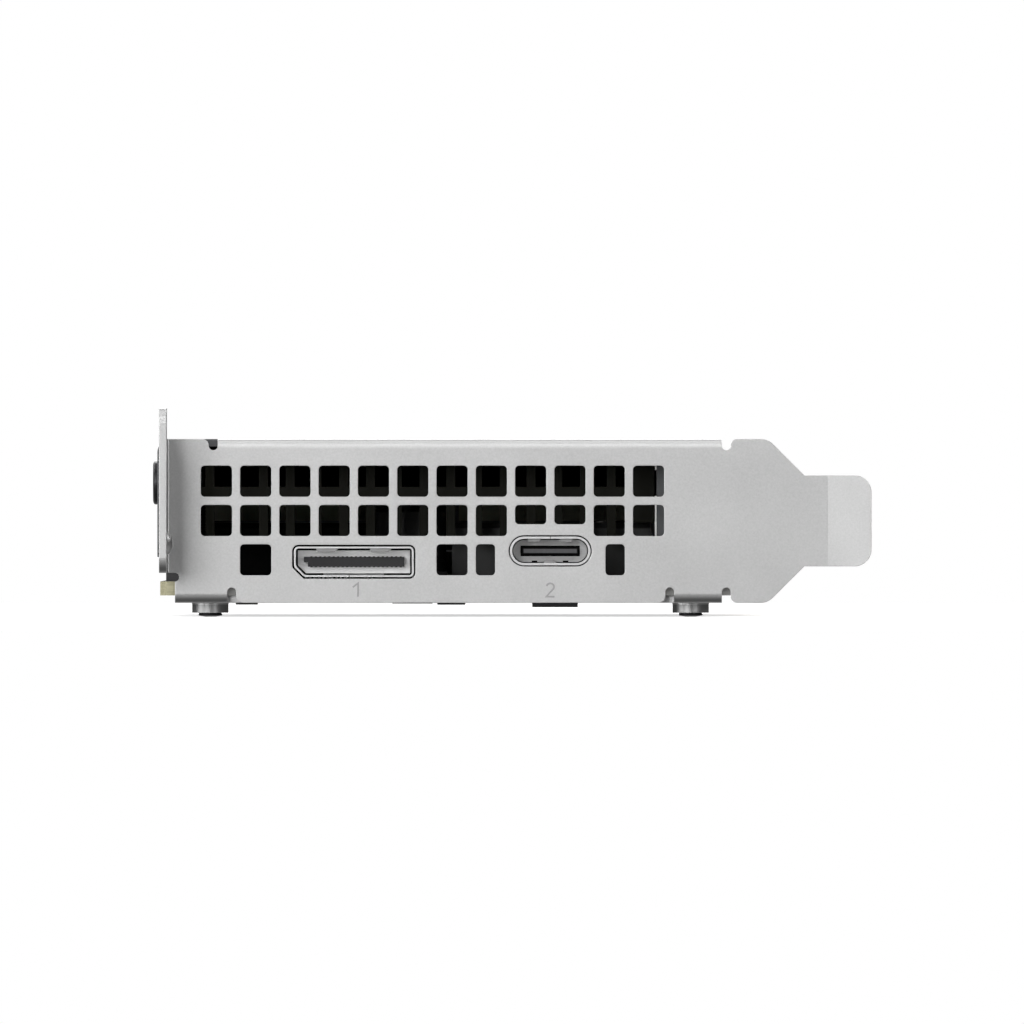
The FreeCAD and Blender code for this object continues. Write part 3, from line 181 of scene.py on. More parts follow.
def plated_steel():
    """Barrel-plated nickel on sheet steel: pale grey with a fine tooth, a painted highlight on its rims, and
    painted shade on its collars.

    The tooth of the plating is drawn at 0.18 mm, coarser than the real one, so that it shows."""
    material, tree, shader, where = start("Nickel-plated sheet steel", Metallic=1.0)
    tooth = add(tree, "TexNoise", {"Vector": where, "Scale": per_mm(0.18), "Detail": 2.0}).outputs["Fac"]
    cloud = add(tree, "TexNoise", {"Vector": where, "Scale": per_mm(9.0), "Detail": 3.0}).outputs["Fac"]
    eased, rim = edge_wear_and_highlight(tree, 0.1)
    sheet = add(tree, "Mix", {SHARE: tooth, FROM: srgb("#a2a2a2"), TO: srgb("#b6b6b6")}, data_type="RGBA")
    # Below the board tabs there are only the collars, which are painted darker: painted shade
    collar_top = at(0, 0, -2.6).z
    height = add(tree, "SeparateXYZ", {"Vector": where}).outputs["Z"]
    collar_shade = add(tree, "Math", {0: height, 1: collar_top}, operation="LESS_THAN").outputs["Value"]
    metal = add(tree, "Mix", {SHARE: collar_shade, FROM: sheet.outputs[TONE], TO: srgb("#868686")}, data_type="RGBA")
    # The rims are painted lighter: a painted highlight
    tone = add(tree, "Mix", {SHARE: rim, FROM: metal.outputs[TONE], TO: srgb("#c8c8c8")}, data_type="RGBA")
    rough = add(tree, "MapRange", {"Value": cloud, "To Min": 0.34, "To Max": 0.48}).outputs["Result"]
    bump = add(tree, "Bump", {"Height": tooth, "Normal": eased, "Strength": 0.08, "Distance": 0.01 * MM})
    feed(tree, shader, tone.outputs[TONE], rough, bump.outputs["Normal"])
    return material


def black_screw_steel():
    """Black-oxide screw steel: near black with an oily satin, rubbed to grey on its edges."""
    material, tree, shader, where = start("Black-oxide screw steel", Metallic=0.8)
    patch = add(tree, "TexNoise", {"Vector": where, "Scale": per_mm(0.5), "Detail": 4.0}).outputs["Fac"]
    eased, rim = edge_wear_and_highlight(tree, 0.08)
    oxide = add(tree, "Mix", {SHARE: patch, FROM: srgb("#161617"), TO: srgb("#323234")}, data_type="RGBA")
    tone = add(tree, "Mix", {SHARE: rim, FROM: oxide.outputs[TONE], TO: srgb("#646466")}, data_type="RGBA")
    rough = add(tree, "MapRange", {"Value": patch, "To Min": 0.25, "To Max": 0.5}).outputs["Result"]
    feed(tree, shader, tone.outputs[TONE], rough, eased)
    return material


def board_laminate():
    """Glass-epoxy laminate: satin black mask over a faint weave, straw fibre or grey sealer at cut edges.

    The weave's 0.55 mm thread spacing is that of a coarse glass cloth."""
    material, tree, shader, where = start("Glass-epoxy laminate with black mask", IOR=1.5)
    facing = add(tree, "NewGeometry").outputs["True Normal"]
    upright = add(tree, "SeparateXYZ", {"Vector": facing}).outputs["Z"]
    level = add(tree, "Math", {0: upright}, operation="ABSOLUTE").outputs["Value"]
    masked = add(tree, "Math", {0: level, 1: 0.9}, operation="GREATER_THAN").outputs["Value"]
    cloth = per_mm(0.55) / (2 * math.pi)
    warp = add(tree, "TexWave", {"Vector": where, "Scale": cloth}, bands_direction="X").outputs["Fac"]
    weft = add(tree, "TexWave", {"Vector": where, "Scale": cloth}, bands_direction="Y").outputs["Fac"]
    weave = add(tree, "Math", {0: warp, 1: weft}, operation="MULTIPLY").outputs["Value"]
    cloud = add(tree, "TexNoise", {"Vector": where, "Scale": per_mm(6.0), "Detail": 3.0}).outputs["Fac"]
    resist = add(tree, "Mix", {SHARE: cloud, FROM: srgb("#0d1011"), TO: srgb("#1d2123")}, data_type="RGBA")
    along = add(tree, "Mapping", {"Vector": where, "Scale": streaks(0.1, "x")}).outputs["Vector"]
    fibre = add(tree, "TexNoise", {"Vector": along, "Scale": 1.0, "Detail": 2.0}).outputs["Fac"]
    straw = add(tree, "Mix", {SHARE: fibre, FROM: srgb("#6e6a53"), TO: srgb("#9a977e")}, data_type="RGBA")
    # The front edge is sealed, except at the corner that shows beside the plate
    corner = at(2, 2, 0)
    place = add(tree, "SeparateXYZ", {"Vector": where})
    ahead = add(tree, "Math", {0: place.outputs["Y"], 1: corner.y}, operation="LESS_THAN")
    inner = add(tree, "Math", {0: place.outputs["X"], 1: corner.x}, operation="GREATER_THAN")
    sealed = add(tree, "Math", {0: ahead.outputs["Value"], 1: inner.outputs["Value"]}, operation="MULTIPLY")
    cut = add(tree, "Mix", {SHARE: sealed.outputs["Value"], FROM: straw.outputs[TONE], TO: srgb("#7c7c7a")},
              data_type="RGBA")
    tone = add(tree, "Mix", {SHARE: masked, FROM: cut.outputs[TONE], TO: resist.outputs[TONE]},
               data_type="RGBA")
    rough = add(tree, "MapRange", {"Value": masked, "To Min": 0.75, "To Max": 0.36}).outputs["Result"]
    bump = add(tree, "Bump", {"Height": weave, "Strength": 0.12, "Distance": 0.01 * MM}).outputs["Normal"]
    feed(tree, shader, tone.outputs[TONE], rough, bump)
    return material


def masked_copper():
    """Copper under black solder mask: a shade lighter than the mask on bare laminate, and glossier."""
    material, tree, shader, where = start("Copper under black solder mask", IOR=1.5)
    cloud = add(tree, "TexNoise", {"Vector": where, "Scale": per_mm(1.5), "Detail": 3.0}).outputs["Fac"]
    tone = add(tree, "Mix", {SHARE: cloud, FROM: srgb("#272c2e"), TO: srgb("#3c4244")}, data_type="RGBA")
    rough = add(tree, "MapRange", {"Value": cloud, "To Min": 0.2, "To Max": 0.4}).outputs["Result"]
    feed(tree, shader, tone.outputs[TONE], rough)
    return material


def contact_gold():
    """Hard gold plate: warm and bright, with wipe marks along the way of insertion.

    The 0.08 mm marks are coarser than real wipe marks, so that they show."""
    material, tree, shader, where = start("Hard gold plate", Metallic=1.0)
    along = add(tree, "Mapping", {"Vector": where, "Scale": streaks(0.08, "x")}).outputs["Vector"]
    wipe = add(tree, "TexNoise", {"Vector": along, "Scale": 1.0, "Detail": 3.0}).outputs["Fac"]
    tone = add(tree, "Mix", {SHARE: wipe, FROM: srgb("#d6a850"), TO: srgb("#f8dc98")}, data_type="RGBA")
    rough = add(tree, "MapRange", {"Value": wipe, "To Min": 0.28, "To Max": 0.5}).outputs["Result"]
    feed(tree, shader, tone.outputs[TONE], rough)
    return material


def anodised_aluminium():
    """Black anodised aluminium extrusion: a deep olive black with die lines along its length."""
    material, tree, shader, where = start("Black anodised aluminium", Metallic=0.2, Specular_IOR_Level=0.12)
    along = add(tree, "Mapping", {"Vector": where, "Scale": streaks(0.15, "y")}).outputs["Vector"]
    die = add(tree, "TexNoise", {"Vector": along, "Scale": 1.0, "Detail": 3.0}).outputs["Fac"]
    eased, rim = edge_wear_and_highlight(tree, 0.1)
    body = add(tree, "Mix", {SHARE: die, FROM: srgb("#0a0a06"), TO: srgb("#13130c")}, data_type="RGBA")
    tone = add(tree, "Mix", {SHARE: rim, FROM: body.outputs[TONE], TO: srgb("#1a1a13")}, data_type="RGBA")
    rough = add(tree, "MapRange", {"Value": die, "To Min": 0.4, "To Max": 0.64}).outputs["Result"]
    bump = add(tree, "Bump", {"Height": die, "Normal": eased, "Strength": 0.2, "Distance": 0.01 * MM})
    feed(tree, shader, tone.outputs[TONE], rough, bump.outputs["Normal"])
    return material


def powder_coat():
    """Fine-texture powder coat on sheet: an even dark grey with the soft peel of baked powder."""
    material, tree, shader, where = start("Dark grey powder coat", IOR=1.5)
    peel = add(tree, "TexNoise", {"Vector": where, "Scale": per_mm(0.45), "Detail": 2.0}).outputs["Fac"]
    cloud = add(tree, "TexNoise", {"Vector": where, "Scale": per_mm(14.0), "Detail": 3.0}).outputs["Fac"]
    eased, rim = edge_wear_and_highlight(tree, 0.15)
    coat = add(tree, "Mix", {SHARE: cloud, FROM: srgb("#37383a"), TO: srgb("#454648")}, data_type="RGBA")
    tone = add(tree, "Mix", {SHARE: rim, FROM: coat.outputs[TONE], TO: srgb("#5a5b5e")}, data_type="RGBA")
    rough = add(tree, "MapRange", {"Value": peel, "To Min": 0.42, "To Max": 0.66}).outputs["Result"]
    bump = add(tree, "Bump", {"Height": peel, "Normal": eased, "Strength": 0.4, "Distance": 0.03 * MM})
    feed(tree, shader, tone.outputs[TONE], rough, bump.outputs["Normal"])
    return material


def black_nickel_and_contact_shade():
    """Black nickel plate on turned brass: dark grey metal with fine tool rings; on the round port's contacts
    it is painted shade.
    """
    material, tree, shader, where = start("Black nickel on turned brass and painted contact shade", Metallic=1.0)
    rings = add(tree, "TexWave", {"Vector": where, "Scale": per_mm(0.2) / (2 * math.pi), "Distortion": 0.6},
                bands_direction="Z").outputs["Fac"]
    tone = add(tree, "Mix", {SHARE: rings, FROM: srgb("#3a3937"), TO: srgb("#52504c")}, data_type="RGBA")
    rough = add(tree, "MapRange", {"Value": rings, "To Min": 0.24, "To Max": 0.4}).outputs["Result"]
    bump = add(tree, "Bump", {"Height": rings, "Strength": 0.2, "Distance": 0.01 * MM}).outputs["Normal"]
    feed(tree, shader, tone.outputs[TONE], rough, bump)
    return material


def bright_nickel():
    """Bright nickel on drawn steel: nearly white, with faint draw lines, and painted shade on forward faces
    inside the ports, such as the springs' cut ends.
    """
    material, tree, shader, where = start("Bright nickel plate", Metallic=1.0)
    along = add(tree, "Mapping", {"Vector": where, "Scale": streaks(0.1, "y")}).outputs["Vector"]
    draw = add(tree, "TexNoise", {"Vector": along, "Scale": 1.0, "Detail": 2.0}).outputs["Fac"]
    eased = edge_wear_and_highlight(tree, 0.04)[0]
    bright = add(tree, "Mix", {SHARE: draw, FROM: srgb("#c2c2c3"), TO: srgb("#d8d8d8")}, data_type="RGBA")
    # Forward faces behind the shells' front rims, chiefly the springs' cut ends, are painted darker: painted
    # shade
    facing = add(tree, "NewGeometry").outputs["True Normal"]
    ahead = add(tree, "SeparateXYZ", {"Vector": facing}).outputs["Y"]
    forward_face = add(tree, "Math", {0: ahead, 1: -0.9}, operation="LESS_THAN").outputs["Value"]
    depth = add(tree, "SeparateXYZ", {"Vector": where}).outputs["Y"]
    deep = add(tree, "Math", {0: depth, 1: at(0, 0.2, 0).y}, operation="GREATER_THAN").outputs["Value"]
    ends = add(tree, "Math", {0: forward_face, 1: deep}, operation="MULTIPLY").outputs["Value"]
    tone = add(tree, "Mix", {SHARE: ends, FROM: bright.outputs[TONE], TO: srgb("#8c8c8c")}, data_type="RGBA")
    rough = add(tree, "MapRange", {"Value": draw, "To Min": 0.24, "To Max": 0.4}).outputs["Result"]
    feed(tree, shader, tone.outputs[TONE], rough, eased)
    return material


def reflowed_tin():
    """Reflowed tin: soft silver with slightly wavy, half-bright faces."""
    material, tree, shader, where = start("Reflowed tin", Metallic=1.0)
    wave = add(tree, "TexNoise", {"Vector": where, "Scale": per_mm(0.35), "Detail": 2.0}).outputs["Fac"]
    tone = add(tree, "Mix", {SHARE: wave, FROM: srgb("#a9aaab"), TO: srgb("#d8d9d9")}, data_type="RGBA")
    rough = add(tree, "MapRange", {"Value": wave, "To Min": 0.18, "To Max": 0.46}).outputs["Result"]
    bump = add(tree, "Bump", {"Height": wave, "Strength": 0.25, "Distance": 0.04 * MM}).outputs["Normal"]
    feed(tree, shader, tone.outputs[TONE], rough, bump)
    return material


def grained(name, tones, grain, rough_range, depth, gloss=0.5):
    """A moulded, pressed, fired or printed stuff: one even colour with a grain of a size in millimetres."""
    material, tree, shader, where = start(name, IOR=1.5, Specular_IOR_Level=gloss)
    spot = add(tree, "TexNoise", {"Vector": where, "Scale": per_mm(grain), "Detail": 4.0}).outputs["Fac"]
    tone = add(tree, "Mix", {SHARE: spot, FROM: srgb(tones[0]), TO: srgb(tones[1])}, data_type="RGBA")
    rough = add(tree, "MapRange", {"Value": spot, "To Min": rough_range[0], "To Max": rough_range[1]})
    eased = edge_wear_and_highlight(tree, 0.06)[0]
    bump = add(tree, "Bump", {"Height": spot, "Normal": eased, "Strength": 0.3, "Distance": depth * MM})
    feed(tree, shader, tone.outputs[TONE], rough.outputs["Result"], bump.outputs["Normal"])
    return material


STEEL = plated_steel()
SCREW_STEEL = black_screw_steel()
BOARD = board_laminate()
COPPER = masked_copper()
GOLD = contact_gold()
SINK = anodised_aluminium()
COAT = powder_coat()
SPACER_AND_CONTACT_SHADE = black_nickel_and_contact_shade()
SHELL = bright_nickel()
TIN = reflowed_tin()
# Moulded nylon in the wide port: dark and matte, so that the metal round it reads
PORT_NYLON = grained("Dark grey moulded nylon", ("#1a1a1b", "#242425"), 0.25, (0.6, 0.75), 0.01, gloss=0.25)
# Inner wall of the wide port: pale and matte, so that it catches what light comes in
PALE_NYLON = grained("Pale moulded nylon", ("#d2d2d2", "#e0e0e0"), 0.25, (0.5, 0.65), 0.01)
# Inner wall of the round port: a light grey
GREY_NYLON = grained("Grey moulded nylon", ("#c2c2c2", "#d2d2d2"), 0.25, (0.5, 0.65), 0.01)
# The round port's tongue: a dark slate grey
TONGUE_NYLON = grained("Slate moulded nylon", ("#323233", "#3f3f41"), 0.25, (0.6, 0.75), 0.01, gloss=0.25)
# Glass-filled nylon of the right drive socket: black with a slightly fibrous skin
SOCKET_NYLON = grained("Black glass-filled nylon", ("#202020", "#303030"), 0.2, (0.5, 0.7), 0.02)
# Soft silicone: dead matte, lumpy where it was squeezed
SILICONE = grained("Olive grey silicone pad", ("#64645a", "#7a7a6a"), 0.8, (0.75, 0.9), 0.06)
# Lacquer over a drawn can: smooth and half glossy
LACQUER = grained("Dark lacquer on a drawn can", ("#1c1b1a", "#272624"), 1.2, (0.45, 0.55), 0.01)
# Moulded epoxy: the eroded matte of a chip's mould
EPOXY = grained("Moulded epoxy package", ("#2a2a2b", "#383839"), 0.12, (0.55, 0.7), 0.02, gloss=0.3)
# Pressed metal powder: granular and dull
FERRITE = grained("Pressed metal-powder core", ("#282827", "#444442"), 0.15, (0.6, 0.8), 0.03)
# Fired ceramic: warm brown and smooth
CERAMIC = grained("Fired ceramic", ("#87694d", "#a98a6b"), 0.2, (0.35, 0.5), 0.01)
# Dark fired ceramic of the large filter capacitor: brownish black and smooth
DARK_CERAMIC = grained("Dark fired ceramic", ("#33312f", "#413f3c"), 0.2, (0.4, 0.55), 0.01)
# Screen-printed board ink: flat white with slight speckle
WHITE_INK = grained("White screen-printed ink", ("#c4c6c4", "#e4e6e4"), 0.15, (0.6, 0.8), 0.005)
# Pad-printed ink on the bracket: a grey a little darker than the metal
GREY_INK = grained("Grey pad-printed ink", ("#747474", "#868686"), 0.15, (0.6, 0.8), 0.005)
# Closed-cell foam: soft white
FOAM = grained("White closed-cell foam", ("#dededa", "#f0f0ec"), 0.3, (0.8, 0.95), 0.04)
# Near black: the seams of the port shells, and painted shade on the round port's wall, round its tongue and
# on the left drive socket
SEAM_AND_SHADE = grained("Near-black seams and painted shade", ("#060606", "#101010"), 0.1, (0.7, 0.9), 0.005, gloss=0.1)

# Finishes of the record's material slots, and of the nodes that have one of their own
FINISHES = {
    "plated_steel": STEEL,
    "black_screw_steel": SCREW_STEEL,
    "board_laminate": BOARD,
    "contact_gold": GOLD,
    "anodised_aluminium": SINK,
    "cover_paint": COAT,
    "spacer_brass": SPACER_AND_CONTACT_SHADE,
    "port_steel": SHELL,
    "port_plastic": PORT_NYLON,
    "socket_plastic": SOCKET_NYLON,
    "pad_silicone": SILICONE,
    "can_sleeve": LACQUER,
    "chip_epoxy": EPOXY,
    "inductor_ferrite": FERRITE,
    "ceramic": CERAMIC,
}
OWN_FINISHES = {
    "link_port_back_plate": PALE_NYLON,
    "filter_capacitor": DARK_CERAMIC,
    # The left drive socket is near black as painted shade, darker than the right socket's nylon
    "left_drive_socket": SEAM_AND_SHADE,
    "link_port_contacts": TIN,
    "type_c_port_back_plate": GREY_NYLON,
    # The round port's contacts take the dark black nickel as painted shade
    "type_c_port_contacts": SPACER_AND_CONTACT_SHADE,
    "type_c_port_tongue": TONGUE_NYLON,
}


def dress_nodes():
    """Gives every CAD node its material."""
    for entry in frame["record"]["subparts"]:
        data = frame["nodes"][entry["node"]].data
        data.materials.clear()
        data.materials.append(OWN_FINISHES.get(entry["node"], FINISHES[entry["material_slot"]]))


# Mesh tools

# Edges that turn more than this many degrees stay sharp
SHARP_ANGLE = 35
# The least cosine of half a corner's turn that a strip's mitre follows
LEAST_MITRE = 0.5


def ring_faces(shape, rings):
    """Skins a list of vertex rings of equal count, and closes both ends."""
    for low, high in zip(rings, rings[1:]):
        for i in range(len(low)):
            j = (i + 1) % len(low)
            shape.faces.new((low[i], low[j], high[j], high[i]))
    shape.faces.new(rings[0][::-1])
    shape.faces.new(rings[-1])


def mesh_of(shape, name):
    """A mesh of a finished bmesh, with all faces outward and only its hard edges sharp."""
    bmesh.ops.recalc_face_normals(shape, faces=shape.faces)
    data = bpy.data.meshes.new(name)
    shape.to_mesh(data)
    shape.free()
    data.shade_smooth()
    data.set_sharp_from_angle(angle=math.radians(SHARP_ANGLE))
    return data


def piece(name, shape, finish, replaces=None):
    """Makes an object of a finished bmesh, which rides on the card."""
    data = mesh_of(shape, name)
    data.materials.append(finish)
    made = bpy.data.objects.new(name, data)
    bpy.context.scene.collection.objects.link(made)
    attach(made, "root")
    if replaces:
        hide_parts(replaces)


def on_board(u, v, w):
    """A flat strip's own point as a point over the board."""
    return at(u, v, w)


def on_plate(u, v, w):
    """A flat strip's own point as a point before the bracket's plate."""
    return at(u, -w, v)


def strip(shape, path, width, low, high, lay=on_board):
    """Adds a flat strip of a width along a path, between two heights."""
    points = [Vector(p) for p in path]
    rings = []
    for i, point in enumerate(points):
        ways = [w.normalized() for w in (
            point - points[max(i - 1, 0)],
            points[min(i + 1, len(points) - 1)] - point) if w.length > 0]
        way = sum(ways, Vector((0, 0))).normalized()
        side = Vector((-way.y, way.x)) * (width / 2 / max(LEAST_MITRE, way.dot(ways[0])))
        left, right = point + side, point - side
        corners = ((left, low), (right, low), (right, high), (left, high))
        rings.append([shape.verts.new(lay(p.x, p.y, w)) for p, w in corners])
    ring_faces(shape, rings)


def brick(shape, low, high, eased):
    """Adds a block between two corners, with its top and bottom edges eased."""
    rings = []
    for inset, z in ((eased, low[2]), (0, low[2] + eased), (0, high[2] - eased), (eased, high[2])):
        x = (low[0] + inset, high[0] - inset)
        y = (low[1] + inset, high[1] - inset)
        corners = ((x[0], y[0]), (x[1], y[0]), (x[1], y[1]), (x[0], y[1]))
        rings.append([shape.verts.new(at(cx, cy, z)) for cx, cy in corners])
    ring_faces(shape, rings)


def disc(shape, x, y, profile, steps, stretch=1.0):
    """Adds a turned form on the board, from a list of (radius, height); stretch draws it out along Y."""
    turns = [2 * math.pi * i / steps for i in range(steps)]
    rings = []
    for radius, z in profile:
        round_x = [x + radius * math.cos(a) for a in turns]
        round_y = [y + stretch * radius * math.sin(a) for a in turns]
        rings.append([shape.verts.new(at(px, py, z)) for px, py in zip(round_x, round_y)])
    ring_faces(shape, rings)


def bent_wire(shape, path, thickness, left, right):
    """Adds a bent metal strip: a path of (y, z) with a thickness, between two places on X."""
    points = [Vector(p) for p in path]
    near, far = [], []
    for i, point in enumerate(points):
        way = (points[min(i + 1, len(points) - 1)] - points[max(i - 1, 0)]).normalized()
        side = Vector((-way.y, way.x)) * (thickness / 2)
        near.append(point + side)
        far.append(point - side)
    outline = near + far[::-1]
    ring_faces(shape, [[shape.verts.new(at(x, p.x, p.y)) for p in outline] for x in (left, right)])


def frame_between(shape, outer, inner, front, rear):
    """Adds a frame between two outlines of (x, z) points, matched one to one, from a front to a rear."""
    loops = []
    for outline, y in ((outer, front), (outer, rear), (inner, rear), (inner, front)):
        loops.append([shape.verts.new(at(x, y, z)) for x, z in outline])
    for near, far in zip(loops, loops[1:] + loops[:1]):
        for i in range(len(near)):
            j = (i + 1) % len(near)
            shape.faces.new((near[i], near[j], far[j], far[i]))


# Screws

def thread(radius, depth, pitch, top, bottom, steps):
    """Rings of (radius, height) pairs for a rolled thread that fades out at both ends."""
    rows_a_turn, fade_rows = 6, 4
    count = int((top - bottom) / (pitch / rows_a_turn))
    rings = []
    for row in range(count + 1):
        height = top + (bottom - top) * row / count
        fade = min(1.0, row / fade_rows, (count - row) / fade_rows)
        ring = []
        for i in range(steps):
            phase = (height / pitch - i / steps) % 1.0
            ring.append((radius - depth * fade * abs(2 * phase - 1), height))
        rings.append(ring)
    return rings


def cross_recess(reach, head_h):
    """A tapered cross-shaped cutter for a screw head."""
    wing = 0.26 * reach
    bed, bed_share = 0.38 * head_h, 0.72
    mouth, mouth_share = head_h + 0.4, 1.05
    corner = [(wing, reach), (-wing, reach), (-wing, wing)]
    outline = []
    for quarter in range(4):
        turn = Matrix.Rotation(quarter * math.pi / 2, 2)
        outline += [turn @ Vector(p) for p in corner]
    shape = bmesh.new()
    rings = []
    for height, share in ((bed, bed_share), (mouth, mouth_share)):
        rings.append([shape.verts.new(Vector((p.x * share, p.y * share, height)) * MM) for p in outline])
    ring_faces(shape, rings)
    return mesh_of(shape, "recess_cutter")


def carve(blank, cutter):
    """The first mesh with the second one cut out of it."""
    scene = bpy.context.scene
    body = bpy.data.objects.new("screw_blank", blank)
    tool = bpy.data.objects.new("recess_cutter", cutter)
    scene.collection.objects.link(body)
    scene.collection.objects.link(tool)
    cut = body.modifiers.new("recess", "BOOLEAN")
    cut.operation = "DIFFERENCE"
    cut.solver = "EXACT"
    cut.object = tool
    result = bpy.data.meshes.new_from_object(body.evaluated_get(bpy.context.evaluated_depsgraph_get()))
    bpy.data.objects.remove(body)
    bpy.data.objects.remove(tool)
    return result


def screw(head_r, head_h, crown, shank_r, shank_length, pitch):
    """A cross-recess screw about Z, its seat at 0: a crowned head above and a rolled thread below."""
    steps, crown_rows = 32, 6
    rim, lead = 0.06, 0.15
    tip_r, groove = 0.4 * shank_r, 0.32 * pitch
    rise, recess_r = 0.6 * crown, 0.55 * head_r
    rows = [[(tip_r, -shank_length)] * steps]
    rows += thread(shank_r, groove, pitch, 0.0, lead - shank_length, steps)[::-1]
    rows += [[(head_r - rim, 0.0)] * steps, [(head_r, rim)] * steps]
    for i in range(crown_rows):
        angle = math.pi / 2 * i / (crown_rows - 1)
        radius = head_r - crown + crown * math.cos(angle)
        rows.append([(radius, head_h - rise * (1 - math.sin(angle)))] * steps)
    turns = [2 * math.pi * i / steps for i in range(steps)]
    shape = bmesh.new()
    rings = []
    for row in rows:
        points = [Vector((r * math.cos(a), r * math.sin(a), z)) for a, (r, z) in zip(turns, row)]
        rings.append([shape.verts.new(p * MM) for p in points])
    ring_faces(shape, rings)
    return carve(mesh_of(shape, "screw_blank"), cross_recess(recess_r, head_h))


def screw_set(node, screw_mesh, places):
    """One piece of screws in place of a node; each place is a point and the way its head faces."""
    shape = bmesh.new()
    for point, facing in places:
        turn = Vector((0, 0, 1)).rotation_difference(Vector(facing)).to_matrix().to_4x4()
        placed = screw_mesh.copy()
        placed.transform(Matrix.Translation(at(*point)) @ turn)
        shape.from_mesh(placed)
        bpy.data.meshes.remove(placed)
    piece(node + "_recessed", shape, SCREW_STEEL, node)


def screws():
    """All the card's screws, with their recesses and threads."""
    side_screw = screw(head_r=2.43, head_h=0.56, crown=0.45, shank_r=1.2, shank_length=5.25, pitch=0.5)
    post_screw = screw(head_r=2.25, head_h=0.8, crown=0.5, shank_r=1.2, shank_length=5.0, pitch=0.45)
    tab_screw = screw(head_r=2.6, head_h=1.9, crown=1.2, shank_r=1.35, shank_length=3.96, pitch=0.5)
    drive_screw = screw(head_r=1.75, head_h=1.0, crown=0.6, shank_r=0.8, shank_length=3.0, pitch=0.4)
    skirts = extent("cover")
    standoff_top = extent("drive_standoffs")[1].z
    sides = [((skirts[0].x, y, COVER_SCREW_Z), (-1, 0, 0)) for y in COVER_SCREW_Y]
    sides += [((skirts[1].x, y, COVER_SCREW_Z), (1, 0, 0)) for y in COVER_SCREW_Y]
    below = [((x, y, BOARD_LOW), (0, 0, -1)) for x, y in POSTS]
    tabs = [((x, y, 0), (0, 0, 1)) for x, y in BRACKET_SCREWS]
    drives = []
    for low, high in SOCKETS:
        drives.append((((low.x + high.x) / 2, low.y + DRIVE_REACH, standoff_top), (0, 0, 1)))
    screw_set("cover_screws", side_screw, sides)
    screw_set("heat_sink_screws", post_screw, below)
    screw_set("bracket_screws", tab_screw, tabs)
    screw_set("drive_screws", drive_screw, drives)


# Ports and sockets

def port_numbers():
    """The numerals 1 and 2 printed under the two ports."""
    low, high = -1.7, -0.2
    pen, film = 0.2, 0.02
    stem, flag_w, flag_h = WIDE_PORT.x + 0.47, 0.6, 0.45
    one = [(stem - flag_w, high - flag_h), (stem, high), (stem, low)]
    bowl_w, bowl_h, bowl_steps = 0.42, 0.4, 10
    bowl_start, bowl_turn = 165, 210
    foot_left, foot_right = 0.44, 0.48
    two = []
    for i in range(bowl_steps + 1):
        angle = math.radians(bowl_start - bowl_turn * i / bowl_steps)
        two.append((ROUND_PORT.x + bowl_w * math.cos(angle), high - bowl_h + bowl_h * math.sin(angle)))
    two += [(ROUND_PORT.x - foot_left, low), (ROUND_PORT.x + foot_right, low)]
    shape = bmesh.new()
    for numeral in (one, two):
        strip(shape, numeral, pen, 0, film, on_plate)
    piece("port_numbers", shape, GREY_INK)


def shell_seams_and_notch_shade():
    """Hairline joints on the front rims of the rolled port shells, and two dark strips low in the round
    port, each the painted shade of a notch.
    """
    wide_seam = [(21.2, 0.5), (21.2, 0.7)]
    round_seam = [(43.74, 5.03), (43.74, 4.78)]
    hairline, on_rim = 0.06, (-0.104, -0.08)
    notch_shades = ((41.66, 42.27), (45.14, 45.76))
    notch_z, notch_h, on_wall = 2.24, 0.18, (-4.21, -4.17)
    shape = bmesh.new()
    for seam in (wide_seam, round_seam):
        strip(shape, seam, hairline, *on_rim, on_plate)
    # Two dark strips on the wall: painted shade, one for each notch
    for left, right in notch_shades:
        strip(shape, [(left, notch_z), (right, notch_z)], notch_h, *on_wall, on_plate)
    piece("shell_seams_and_notch_shade", shape, SEAM_AND_SHADE)


def wide_port_wall():
    """A pale moulded frame before the wide port's back plate, close round the keyed tongue."""
    low, high = WIDE_PLATE
    bed, corner, depth = low.z + 0.2, 0.9, 1.9
    # The opening for the tongue, with a step at its lower left
    left, right, floor_z, roof_z = 16.12, 27.38, 1.66, 2.75
    key_x, key_z = 16.57, 2.16
    outer = [(low.x, key_z), (low.x, bed + corner), (low.x + corner, bed)]
    outer += [(high.x, bed), (high.x, high.z), (low.x, high.z)]
    inner = [(left, key_z), (key_x, key_z), (key_x, floor_z)]
    inner += [(right, floor_z), (right, roof_z), (left, roof_z)]
    shape = bmesh.new()
    frame_between(shape, outer, inner, low.y - depth, low.y)
    piece("link_port_wall", shape, PALE_NYLON)


def round_port_painted_shade():
    """Painted shade in the round port: a black frame round the tongue, and a thin black frame on the
    tongue's tip.
    """
    signs = ((-1, -1), (1, -1), (1, 1), (-1, 1))
    # Each has its outer and inner half width and half height, and its front and rear
    # Both frames are near black: painted shade
    well_shade = ((3.31, 0.59), (3.06, 0.3), 4.15, 4.3)
    tip_shade = ((3.09, 0.3), (2.99, 0.235), 1.07, 1.2)
    shape = bmesh.new()
    for outer, inner, front, rear in (well_shade, tip_shade):
        loops = [[(ROUND_PORT.x + w * i, ROUND_PORT.z + h * k) for i, k in signs] for w, h in (outer, inner)]
        frame_between(shape, *loops, front, rear)
    piece("type_c_port_painted_shade", shape, SEAM_AND_SHADE)


